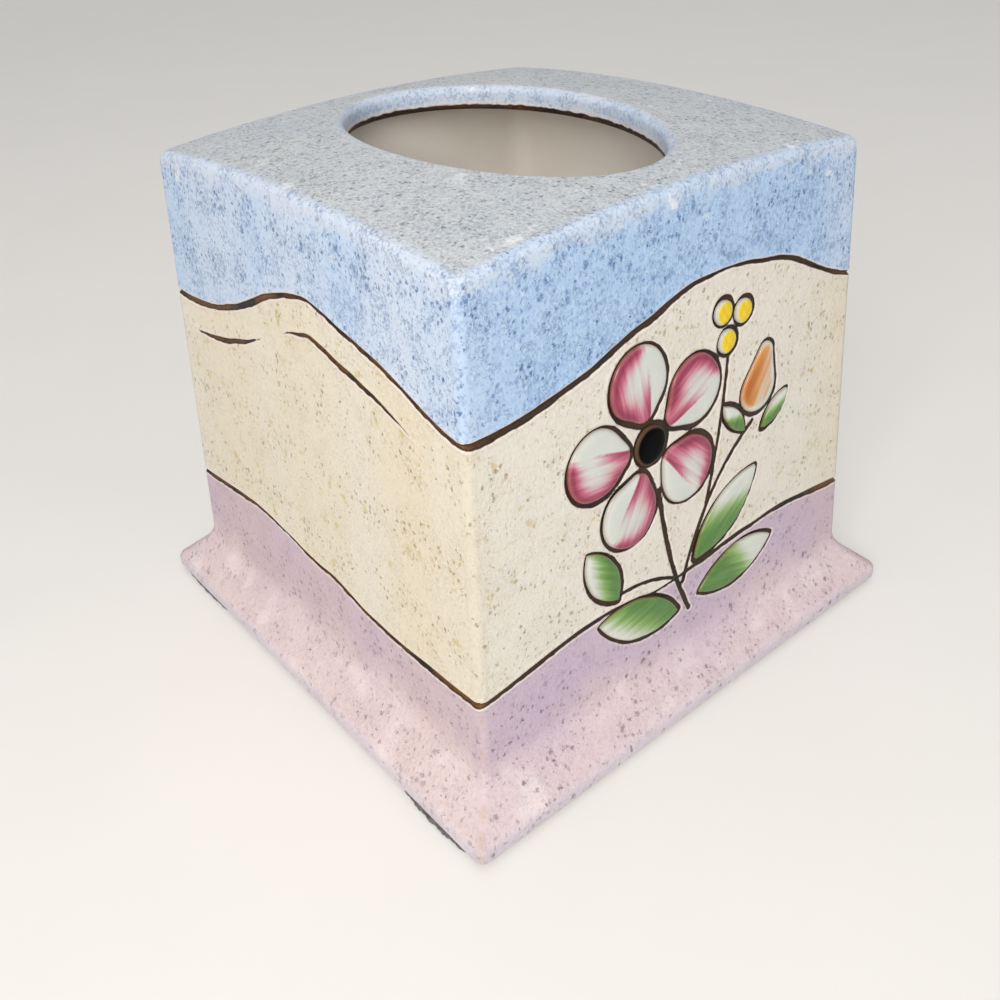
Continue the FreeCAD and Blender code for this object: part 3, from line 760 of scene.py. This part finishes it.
# %% Brush strokes and the pieces of the spray
def petal_paint(along, across, rim):
    """A crescent that is sharp along one edge and fades inwards, and a stroke from the flower's middle
    that is sharp on one side and fades on the other."""
    crescent = np.exp(-np.abs(rim - 0.08) / 0.34) * smooth_step(-0.35, 0.35, across + 0.35 * along)
    beside = across + 0.30 + 0.22 * along
    inner = np.where(beside > 0, np.exp(-np.abs(beside) / 0.34), smooth_step(-0.1, 0.0, beside))
    return np.clip(1.15 * crescent + inner * smooth_step(0.75, -0.7, along), 0, 1)


def leaf_paint(along, across, rim):
    """Strong at the root and one edge, running out towards the tip."""
    return smooth_step(0.95, -0.45, along + 0.55 * across)


def bud_paint(along, across, rim):
    """Strong along one edge, thin over the rest, and stopping short of the rim."""
    strength = 0.45 + 0.55 * smooth_step(-0.4, 0.9, across - 0.3 * along)
    return strength * smooth_step(-0.05, 0.25, rim + 0.15 * across)


def berry_paint(along, across, rim):
    """A thick dab that stops short of the rim on one side, where the white ground shows."""
    return smooth_step(-0.05, 0.3, rim - 0.15 * across)


def full_paint(along, across, rim):
    """Colour all over."""
    return np.ones_like(along)


petals = [pad_piece(name, FLOWER_MIDDLE, "white_gloss_glaze", petal_paint) for name in PETALS]
leaves = [pad_piece(name, STEM_FOOT, "green_gloss_glaze", leaf_paint) for name in LEAVES]
bud = pad_piece("bud", STEM_FOOT, "orange_gloss_glaze", bud_paint, crown=5.0)
berries = [pad_piece(name, STEM_FOOT, "yellow_gloss_glaze", berry_paint, crown=3.0, lumps=0.12)
           for name in BERRIES]
flower_centre = pad_piece("flower_centre", STEM_FOOT, "black_gloss_glaze", full_paint, crown=3.5)

# %% [markdown]
# ## Felt strips
# Dark felt strips under the foot lift the glaze off the table.  Worn felt has soft, ragged sides, and its
# fringe peeps out a little from under the lip.  A strip is a rounded outline carried up through a few rows,
# each row shifted by its own small waver.

# %% Build the felt strips
FELT_ROWS, FELT_COLUMNS = 6, 480
FELT_SQUARENESS = 14
FELT_RAGGED, FELT_BULGE = 0.09, 0.35
FELT_FRINGE = {"front": 1.0, "back": 0.45}


def felt_piece(name):
    """A closed slab: rows of a rounded rectangle |x/a|^n + |y/b|^n = 1, bulging at mid height.  Under the
    lip its long side swells by the fringe * (1 - share^2), so it peeps out most at the strip's middle."""
    low, high = node_box(name)
    middle, half = (low + high) / 2, (high - low) / 2
    turns = np.linspace(0, 2 * math.pi, FELT_COLUMNS, endpoint=False)
    square = np.abs([np.cos(turns), np.sin(turns)]) ** FELT_SQUARENESS
    square = square.sum(axis=0) ** (-1 / FELT_SQUARENESS)
    level = np.linspace(-1, 1, FELT_ROWS)[:, None]
    waver = np.sin(17 * turns + 2 * level) + 0.6 * np.sin(41 * turns + 3 * np.sin(7 * turns))
    ragged = FELT_RAGGED * (waver + 0.3 * np.sin(97 * turns + 6 * level) - 1.9)
    inset = ragged - FELT_BULGE * level ** 4
    x = middle[0] + (half[0] + inset) * square * np.cos(turns)
    y = middle[1] + (half[1] + inset) * square * np.sin(turns)
    side = np.sign(middle[0])
    outward = side * smooth_step(0.8, 1.0, side * (x - middle[0]) / half[0])
    x += outward * FELT_FRINGE[name.split("_")[0]] * (1 - ((y - middle[1]) / half[1]) ** 2)
    points = np.stack([x, y, middle[2] + half[2] * level * np.ones_like(x)], axis=-1)
    ring = np.arange(FELT_COLUMNS)
    faces = grid_faces(FELT_ROWS, FELT_COLUMNS, False, True)
    faces += [ring[::-1].tolist(), ((FELT_ROWS - 1) * FELT_COLUMNS + ring).tolist()]
    return make_piece(f"{name}_cut", points, faces, [name])


FELT_NODES = [f"{end}_{side}_felt_strip" for side in ("left", "right") for end in ("front", "back")]
felts = [felt_piece(name) for name in FELT_NODES]

# %% [markdown]
# ## Node helpers
# A finish is a small calculation: noises, thresholds and mixtures.  These helpers add a node or a few and
# return what comes out, so that a finish reads from top to bottom like a recipe.  Noise sizes are given in
# millimetres of the real surface, on Object coordinates, which are metres.

# %% Helpers for finishes
def colour(red, green, blue):
    """A colour from 0 to 255 display values, as the linear numbers that a shader takes."""
    share = np.array([red, green, blue]) / 255
    linear = np.where(share <= 0.04045, share / 12.92, ((share + 0.055) / 1.055) ** 2.4)
    return (*linear.tolist(), 1.0)


class Finish:
    """A new material, with a method for each kind of node that the finishes use."""

    def __init__(self, name):
        self.material = bpy.data.materials.new(name)
        self.material.use_nodes = True
        self.tree = self.material.node_tree
        self.shader = self.tree.nodes["Principled BSDF"]
        self.place = self.add("TexCoord", "Object", {})

    def fill(self, node, inputs):
        """Fill in a node's inputs: a socket is linked, and a number or a colour is set."""
        for name, value in inputs.items():
            if isinstance(value, bpy.types.NodeSocket):
                self.tree.links.new(value, node.inputs[name])
            else:
                node.inputs[name].default_value = value

    def add(self, kind, output, inputs, **settings):
        """One node with its settings and inputs, and the socket that comes out of it."""
        node = self.tree.nodes.new("ShaderNode" + kind)
        for name, value in settings.items():
            setattr(node, name, value)
        self.fill(node, inputs)
        return node.outputs[output]

    def read(self, name):
        """An attribute that was stored on the points."""
        return self.add("Attribute", "Fac", {}, attribute_name=name)

    def stretched(self, scale, turn=(0, 0, 0), place=None):
        """Coordinates scaled along the axes, so that a noise on them is drawn out."""
        inputs = {"Vector": place or self.place, "Scale": scale, "Rotation": turn}
        return self.add("Mapping", "Vector", inputs)

    def noise(self, size, detail=2.0, roughness=0.5, place=None, unit=MM):
        """A noise from 0 to 1 whose bumps have a size."""
        return self.add("TexNoise", "Fac", {"Vector": place or self.place, "Scale": 1 / (size * unit),
                                            "Detail": detail, "Roughness": roughness})

    def wobbled(self, place, size, amount):
        """Coordinates pushed about by a noise, so that round dots come out irregular."""
        shove = self.add("TexNoise", "Color", {"Vector": place, "Scale": 1 / (size * MM)})
        return self.add("VectorMath", "Vector", {0: shove, 1: (amount * MM,) * 3, 2: place},
                        operation="MULTIPLY_ADD")

    def specks(self, place, size, least, largest, boost, soft, ragged):
        """Dots in cells of a size: each cell draws a number, and above the least one it has a dot,
        the larger the number the wider, up to the largest share of a cell.  A second draw sets how dark,
        and a ragged noise moves the dots' outlines in and out."""
        away = self.add("TexVoronoi", "Distance", {"Vector": place, "Scale": 1 / (size * MM)})
        draw = self.add("SeparateColor", "Red", {"Color": away.node.outputs["Color"]})
        radius = self.ramp(self.plus(draw, boost), least, 1.1, 0.0, largest)
        dot = self.ramp(self.plus(away, ragged), radius, self.sum("SUBTRACT", radius, soft))
        return self.times(dot, self.ramp(draw.node.outputs["Green"], 0.0, 1.0, 0.3, 1.0))

    def sum(self, operation, first, second):
        """Any sum of two numbers."""
        return self.add("Math", "Value", {0: first, 1: second}, operation=operation)

    def plus(self, first, second):
        """Two numbers added."""
        return self.sum("ADD", first, second)

    def times(self, first, second):
        """Two numbers multiplied."""
        return self.sum("MULTIPLY", first, second)

    def ramp(self, value, low, high, start=0.0, end=1.0):
        """A smooth rise from start at low to end at high."""
        return self.add("MapRange", "Result", {"Value": value, "From Min": low, "From Max": high,
                                               "To Min": start, "To Max": end},
                        interpolation_type="SMOOTHSTEP")

    def mix(self, amount, first, second, kind="RGBA"):
        """One colour, or one number, turning into another as the amount grows from 0 to 1."""
        return self.add("Mix", "Result", {"Factor": amount, "A": first, "B": second}, data_type=kind)

    def coats(self, ground, *coats):
        """Coats laid one over another: each has a mask, how strongly it covers, and a colour."""
        for mask, cover, tone in coats:
            ground = self.mix(self.times(mask, cover), ground, tone)
        return ground

    def bump(self, height, distance, strength=1.0):
        """Small relief of a height in millimetres, as a change of the shader's normal."""
        inputs = {"Height": height, "Distance": distance * MM, "Strength": strength}
        self.fill(self.shader, {"Normal": self.add("Bump", "Normal", inputs)})

    def give(self, *pieces):
        """Put the material on some pieces."""
        for piece in pieces:
            piece.data.materials.append(self.material)
        print(self.material.name, "->", len(pieces), "pieces,", len(self.tree.nodes), "nodes")


print("mid grey, linear:", round(colour(128, 128, 128)[0], 3))

# %% [markdown]
# ## The speckled glazes
# Walls, foot and roof share one finish, because on the real cover the three glazes were fired together
# and run on from slab to slab.  Attributes say which glaze a point has: above the upper line blue, below
# the lower line lilac, and cream between.  Each glaze has its own ground and specks, and fine pits run
# through all three.

# %% Grounds that the glazes share
glaze = Finish("speckled_glazes")
top, thin, liner = glaze.read("top"), glaze.read("thin"), glaze.read("liner")
height = glaze.add("SeparateXYZ", "Z", {"Vector": glaze.place})
clouds = glaze.noise(22, 3)
clusters = glaze.ramp(glaze.noise(7, 2), 0.3, 0.7, -0.2, 0.2)
clusters = glaze.times(clusters, glaze.ramp(top, 0, 1, 1.0, 0.45))
drips = glaze.wobbled(glaze.stretched((1, 1, 0.84)), 0.8, 0.9)
ragged = glaze.ramp(glaze.noise(0.4, 2, 0.6), 0.3, 0.7, -0.16, 0.16)
mottle = glaze.ramp(glaze.noise(1.5, 4, 0.68, drips), 0.44, 0.66)
pale = glaze.ramp(glaze.noise(1.1, 4, 0.7, glaze.stretched((1, 1, 0.8), (0.4, 0.2, 0.7))), 0.5, 0.68)
edge = glaze.plus(glaze.read("edge"), glaze.ramp(glaze.noise(5, 2), 0.3, 0.7, -2.0, 2.0))
# Paler blue near the eaves and the opening: partly glaze running thin over the edges, partly a painted
# highlight along them.
pale_edge_and_highlight = glaze.ramp(edge, 6.0, 0.0)
grain = glaze.plus(glaze.noise(0.7, 3, 0.7, drips), glaze.times(clusters, 0.3))
grain = glaze.ramp(grain, 0.50, 0.66)
# Darker glaze down the vertical corners: partly the glaze breaking there, partly painted shade that tones
# down the light on the corners.
corner_break_and_shade = glaze.ramp(glaze.read("mitre"), 3.0, 0.6)
print("shared grounds:", len(glaze.tree.nodes), "nodes")

# %% Blue glaze
blue_ground = glaze.coats(
    glaze.mix(clouds, colour(170, 202, 237), colour(188, 212, 240)),
    (mottle, 0.5, colour(140, 174, 218)),
    (thin, 0.75, colour(216, 223, 234)),
    (pale, 0.5, colour(210, 227, 246)),
    (pale_edge_and_highlight, 0.7, colour(211, 219, 231)),
    (grain, 0.55, colour(122, 152, 194)),
    (corner_break_and_shade, 0.25, colour(160, 182, 214)))
roof_ground = glaze.coats(
    glaze.mix(clouds, colour(202, 208, 213), colour(217, 216, 211)),
    (mottle, 0.5, colour(174, 180, 187)),
    (pale, 0.5, colour(228, 230, 229)),
    (grain, 0.52, colour(138, 146, 156)))
blue_ground = glaze.coats(blue_ground, (top, 0.92, roof_ground))
fine_blue = glaze.specks(drips, 1.1, -0.05, 0.56, clusters, 0.32, ragged)
broad_blue = glaze.specks(drips, 2.5, 0.22, 0.44, clusters, 0.25, ragged)
blue_specks = glaze.sum("MAXIMUM", fine_blue, glaze.times(broad_blue, 0.8))
blue_specks = glaze.times(blue_specks, glaze.ramp(edge, -3.0, 6.0, 0.25, 1.0))
speck_colour = glaze.mix(top, colour(94, 126, 174), colour(116, 124, 138))
skips = glaze.times(glaze.ramp(glaze.noise(8, 3, 0.6), 0.64, 0.70), glaze.ramp(edge, 14.0, 2.0))
blue = glaze.coats(glaze.mix(blue_specks, blue_ground, speck_colour), (skips, 0.8, colour(238, 240, 242)))
print("with the blue:", len(glaze.tree.nodes), "nodes")

# %% Cream glaze
stains = glaze.plus(glaze.noise(3.0, 3, 0.55), glaze.times(clusters, 0.25))
stains = glaze.ramp(stains, 0.62, 0.74)
cream_ground = glaze.coats(
    glaze.mix(clouds, colour(233, 229, 220), colour(229, 223, 210)),
    (thin, 0.9, colour(229, 217, 192)),
    (mottle, 0.12, colour(216, 199, 164)),
    (pale, 0.2, colour(246, 240, 226)),
    (stains, 0.6, colour(208, 186, 116)),
    (grain, 0.07, colour(184, 162, 120)),
    (corner_break_and_shade, 0.6, colour(210, 201, 182)))
pits = glaze.specks(drips, 1.3, 0.2, 0.4, clusters, 0.25, ragged)
cream = glaze.mix(pits, cream_ground, glaze.mix(thin, colour(196, 178, 136), colour(194, 170, 108)))
print("with the cream:", len(glaze.tree.nodes), "nodes")

# %% Lilac glaze
pinkness = glaze.plus(height, glaze.ramp(clouds, 0.3, 0.7, -0.005, 0.005))
pinkness = glaze.ramp(pinkness, 0.028, 0.009)
pink = glaze.mix(thin, colour(222, 202, 206), colour(225, 205, 202))
bloom = glaze.times(glaze.ramp(glaze.noise(11, 2), 0.5, 0.68), pinkness)
# A pale band on the foot's upright lip is a painted sheen.
painted_lip_sheen = glaze.ramp(height, 0.0075, 0.0045)
lilac_ground = glaze.mix(thin, colour(203, 184, 202), colour(210, 188, 192))
lilac_ground = glaze.coats(
    glaze.mix(pinkness, lilac_ground, pink),
    (mottle, 0.16, colour(184, 164, 178)),
    (bloom, 0.6, colour(240, 228, 225)),
    (painted_lip_sheen, 0.6, colour(218, 213, 224)),
    (grain, 0.12, colour(160, 140, 152)))
fine_mauve = glaze.specks(drips, 1.3, 0.4, 0.46, clusters, 0.3, ragged)
broad_mauve = glaze.specks(drips, 2.1, 0.1, 0.42, clusters, 0.22, ragged)
mauve_specks = glaze.sum("MAXIMUM", glaze.times(fine_mauve, 0.55), broad_mauve)
mauve_specks = glaze.times(mauve_specks, glaze.ramp(thin, 0, 1, 1.0, 0.6))
mauve = glaze.mix(pinkness, colour(122, 104, 120), colour(154, 136, 144))
trace = glaze.times(glaze.ramp(glaze.read("mitre"), 1.8, 0.2), glaze.ramp(glaze.noise(6, 3), 0.45, 0.6))
lilac = glaze.coats(
    glaze.mix(mauve_specks, lilac_ground, mauve),
    (corner_break_and_shade, 0.35, colour(196, 178, 186)),
    (trace, 0.3, colour(196, 168, 136)))
print("with the lilac:", len(glaze.tree.nodes), "nodes")

# %% Which glaze lies where
ground = glaze.mix(glaze.ramp(glaze.read("above_upper"), -0.05, 0.05), cream, blue)
ground = glaze.mix(glaze.ramp(glaze.read("above_lower"), 0.05, -0.05), ground, lilac)
print("three glazes:", len(glaze.tree.nodes), "nodes")

# %% [markdown]
# The brown glaze in the lines pools dark and glossy, with warmer bits where it lies thin, and the glazes
# beside it burn to a thin pale rim, which also stands for a painted highlight on the cut's lip.  Inside,
# the cover has a plain warm liner glaze.

# %% Brown lines, liner and surface of the glazes
LINE_ROUGHNESS = 0.48
ink = glaze.plus(glaze.read("ink"), glaze.ramp(glaze.noise(3.0, 1), 0.3, 0.7, -0.08, 0.08))
# The pale rim beside the lines is partly a painted highlight on the cut's lip.
pale_rim_and_highlight = glaze.ramp(ink, 0.75, 0.15)
lined = glaze.ramp(ink, 0.08, -0.12)
pooled = glaze.ramp(ink, -0.2, -0.55)
warm = glaze.times(glaze.ramp(glaze.noise(14, 2), 0.36, 0.52),
                   glaze.ramp(glaze.noise(1.2, 3, 0.6), 0.2, 0.55))
warm = glaze.times(warm, glaze.ramp(pooled, 0, 1, 0.3, 1.0))
warm = glaze.times(warm, glaze.ramp(thin, 0, 0.6, 0.25, 1.0))
brown = glaze.mix(warm, colour(30, 17, 8), colour(108, 69, 22))
ground = glaze.mix(lined, glaze.coats(ground, (pale_rim_and_highlight, 0.6, colour(238, 224, 216))), brown)
liner_ground = glaze.mix(clouds, colour(252, 246, 238), colour(247, 240, 230))
satin = glaze.ramp(glaze.noise(3, 3), 0.3, 0.7, 0.5, 0.68)
glaze.fill(glaze.shader, {"Base Color": glaze.mix(liner, ground, liner_ground),
                          "Roughness": glaze.mix(lined, satin, LINE_ROUGHNESS, "FLOAT"),
                          "Specular IOR Level": 0.35})
peel = glaze.times(glaze.noise(1.3, 4, 0.62), glaze.ramp(top, 0, 1, 0.8, 1.5))
dimples = glaze.plus(glaze.times(grain, 0.2), glaze.times(pits, 1.1))
relief = glaze.sum("SUBTRACT", peel, dimples)
glaze.bump(glaze.times(relief, glaze.ramp(liner, 0, 1, 1.0, 0.1)), 0.3, 0.9)
glaze.give(roof, foot, *walls)

# %% [markdown]
# ## Painted gloss glazes
# The spray's glazes are glossier than the body's: a white ground, with colour brushed on it in one stroke.
# The stroke's strength is broken up by bristle streaks along the pad, so that it runs out in stripes, and
# the colour is darkest where it lies thickest, near the edge that the stroke follows.

# %% Painted glazes
WHITE_LIGHT, WHITE_SHADE = colour(222, 224, 216), colour(204, 209, 200)
POOLED = colour(150, 120, 96)
BRISTLES = (0.06, 0.7, 1.0)


def painted_glaze(name, thin, thick, roughness, streak=0.12):
    """White gloss glaze under a brush stroke that goes from a thin to a thick colour."""
    finish = Finish(name)
    brush = finish.stretched(BRISTLES, place=finish.add("UVMap", "UV", {}, uv_map="brush"))
    bristles = finish.noise(1.0, 2, 0.5, brush, 1.0)
    load = finish.plus(finish.read("paint"), finish.ramp(bristles, 0.25, 0.75, -streak, streak))
    white = finish.mix(finish.noise(6, 2), WHITE_LIGHT, WHITE_SHADE)
    stroke = finish.mix(finish.ramp(load, 0.5, 1.05), thin, thick)
    base = finish.mix(finish.ramp(load, 0.15, 0.7), white, stroke)
    pooled = finish.ramp(finish.read("rim"), 0.9, 0.1, 0.0, 0.35)
    gloss = finish.ramp(finish.noise(4, 2), 0.3, 0.7, *roughness)
    finish.fill(finish.shader, {"Base Color": finish.mix(pooled, base, POOLED), "Roughness": gloss})
    finish.bump(finish.plus(finish.noise(2.5, 2), finish.times(bristles, 0.3)), 0.12, 0.6)
    return finish


painted_glaze("rose_on_white", colour(200, 104, 130), colour(142, 36, 70), (0.18, 0.28)).give(*petals)
painted_glaze("green_on_white", colour(136, 174, 92), colour(70, 122, 42), (0.18, 0.28)).give(*leaves)
painted_glaze("orange_on_white", colour(216, 146, 64), colour(174, 82, 18), (0.16, 0.25)).give(bud)
painted_glaze("thick_yellow", colour(242, 220, 40), colour(234, 200, 0), (0.2, 0.3), 0.3).give(*berries)
black_glaze = painted_glaze("gloss_black", colour(6, 5, 6), colour(2, 2, 3), (0.3, 0.4), 0.1)
black_glaze.fill(black_glaze.shader, {"Specular IOR Level": 0.04})
black_glaze.give(flower_centre)

# %% [markdown]
# ## Felt
# Felt is a mat of fibres: light and dark threads running every way.  Two noises stretched along different
# directions stand for them, and a high roughness with a little sheen gives the dusty look.

# %% Felt finish
felt_finish = Finish("grey_felt_mat")
threads = felt_finish.noise(0.5, 4, 0.7, felt_finish.stretched((1, 0.2, 1), (0, 0, 0.6)))
crossing = felt_finish.noise(0.5, 4, 0.7, felt_finish.stretched((0.2, 1, 1), (0, 0, 0.3)))
mat = felt_finish.times(felt_finish.plus(threads, crossing), 0.5)
fibres = felt_finish.mix(felt_finish.ramp(mat, 0.35, 0.65), colour(66, 65, 68), colour(124, 122, 124))
felt_finish.fill(felt_finish.shader, {"Base Color": fibres, "Sheen Weight": 0.3,
                                      "Roughness": felt_finish.ramp(mat, 0.3, 0.7, 0.85, 1.0)})
felt_finish.bump(mat, 0.3)
felt_finish.give(*felts)

# %% [markdown]
# ## Floor, light and camera
# The cover stands on a plain pale floor in soft studio light.  A large lamp beside the camera lights both
# faces that the photograph shows, a second one fills the right side, a third hangs above, and the world
# adds an even glow.

# %% Floor
FLOOR_HALF = 3.0
FLOOR_GLOW = 0.28


def seen_strength(tree, unseen, seen):
    """One strength for rays that see the backdrop, straight or by reflection, and another for the rest."""
    rays = tree.nodes.new("ShaderNodeLightPath").outputs
    strength = None
    for kind in ("Is Camera Ray", "Is Glossy Ray", "Is Transmission Ray"):
        pick = tree.nodes.new("ShaderNodeMapRange")
        pick.inputs["To Min"].default_value = unseen
        pick.inputs["To Max"].default_value = seen
        tree.links.new(rays[kind], pick.inputs["Value"])
        if strength:
            larger = tree.nodes.new("ShaderNodeMath")
            larger.operation = "MAXIMUM"
            tree.links.new(strength, larger.inputs[0])
            tree.links.new(pick.outputs["Result"], larger.inputs[1])
            strength = larger.outputs["Value"]
        else:
            strength = pick.outputs["Result"]
    return strength


floor_mesh = bpy.data.meshes.new("floor")
corners = [(x * FLOOR_HALF, y * FLOOR_HALF, 0) for x, y in ((-1, -1), (1, -1), (1, 1), (-1, 1))]
floor_mesh.from_pydata(corners, [], [(0, 1, 2, 3)])
floor = bpy.data.objects.new("floor", floor_mesh)
bpy.context.collection.objects.link(floor)
floor_finish = Finish("pale_floor")
drift = floor_finish.noise(60, 3)
floor_finish.fill(floor_finish.shader, {
    "Base Color": floor_finish.mix(drift, colour(214, 211, 206), colour(208, 205, 200)),
    "Roughness": 0.6,
    "Emission Color": colour(236, 234, 230),
    "Emission Strength": seen_strength(floor_finish.tree, 0.0, FLOOR_GLOW),
})
floor_finish.give(floor)

# %% Light
WORLD_LIGHT, WORLD_SEEN = 0.42, 0.8
world = bpy.data.worlds.new("studio")
bpy.context.scene.world = world
world.use_nodes = True
background = world.node_tree.nodes["Background"]
background.inputs["Color"].default_value = colour(236, 236, 238)
glow = seen_strength(world.node_tree, WORLD_LIGHT, WORLD_SEEN)
world.node_tree.links.new(glow, background.inputs["Strength"])


def soft_lamp(name, place, aim, size, power, tint):
    """A square area lamp at a place, turned so that its own -Z axis points at the aim."""
    lamp = bpy.data.lights.new(name, "AREA")
    lamp.size, lamp.energy, lamp.color = size, power, tint
    holder = bpy.data.objects.new(name, lamp)
    holder.location = place
    away = np.array(place) - np.array(aim)
    holder.rotation_euler = (math.acos(away[2] / np.linalg.norm(away)), 0,
                             math.atan2(away[1], away[0]) + math.pi / 2)
    bpy.context.collection.objects.link(holder)


soft_lamp("key", (-0.56, -0.44, 0.50), (0, 0, 0.07), 0.45, 5.2, (1.0, 0.975, 0.94))
soft_lamp("fill", (0.45, -0.85, 0.50), (0, 0, 0.07), 0.8, 1.2, (0.97, 0.99, 1.0))
soft_lamp("above", (-0.1, 0.1, 1.1), (0, 0, 0.1), 0.8, 2.0, (1.0, 1.0, 1.0))

# %% Camera
CAMERA_AZIMUTH = -0.6705163
CAMERA_ELEVATION = 0.6018897
CAMERA_ROLL = -0.0538266
CAMERA_DISTANCE = 0.245557
CAMERA_TARGET = np.array([-0.040191, -0.044122, 0.0700])
FOCAL_PIXELS, PICTURE_PIXELS, SENSOR = 1019.49, 1000, 36.0
back = np.array([math.sin(CAMERA_AZIMUTH) * math.cos(CAMERA_ELEVATION),
                 -math.cos(CAMERA_AZIMUTH) * math.cos(CAMERA_ELEVATION), math.sin(CAMERA_ELEVATION)])
level = np.cross([0, 0, 1], back)
level /= np.linalg.norm(level)
upright = np.cross(back, level)
right = math.cos(CAMERA_ROLL) * level + math.sin(CAMERA_ROLL) * upright
up = -math.sin(CAMERA_ROLL) * level + math.cos(CAMERA_ROLL) * upright
camera_data = bpy.data.cameras.new("photo_camera")
camera_data.sensor_width = SENSOR
camera_data.lens = SENSOR * FOCAL_PIXELS / PICTURE_PIXELS
camera_data.clip_start = 0.01
camera = bpy.data.objects.new("photo_camera", camera_data)
placing = np.eye(4)
placing[:3, 0], placing[:3, 1], placing[:3, 2] = right, up, back
placing[:3, 3] = CAMERA_TARGET + back * CAMERA_DISTANCE
camera.matrix_world = placing.T.tolist()
bpy.context.collection.objects.link(camera)
bpy.context.scene.camera = camera
bpy.context.scene.view_settings.view_transform = "Standard"
print("camera at", placing[:3, 3].round(3).tolist())
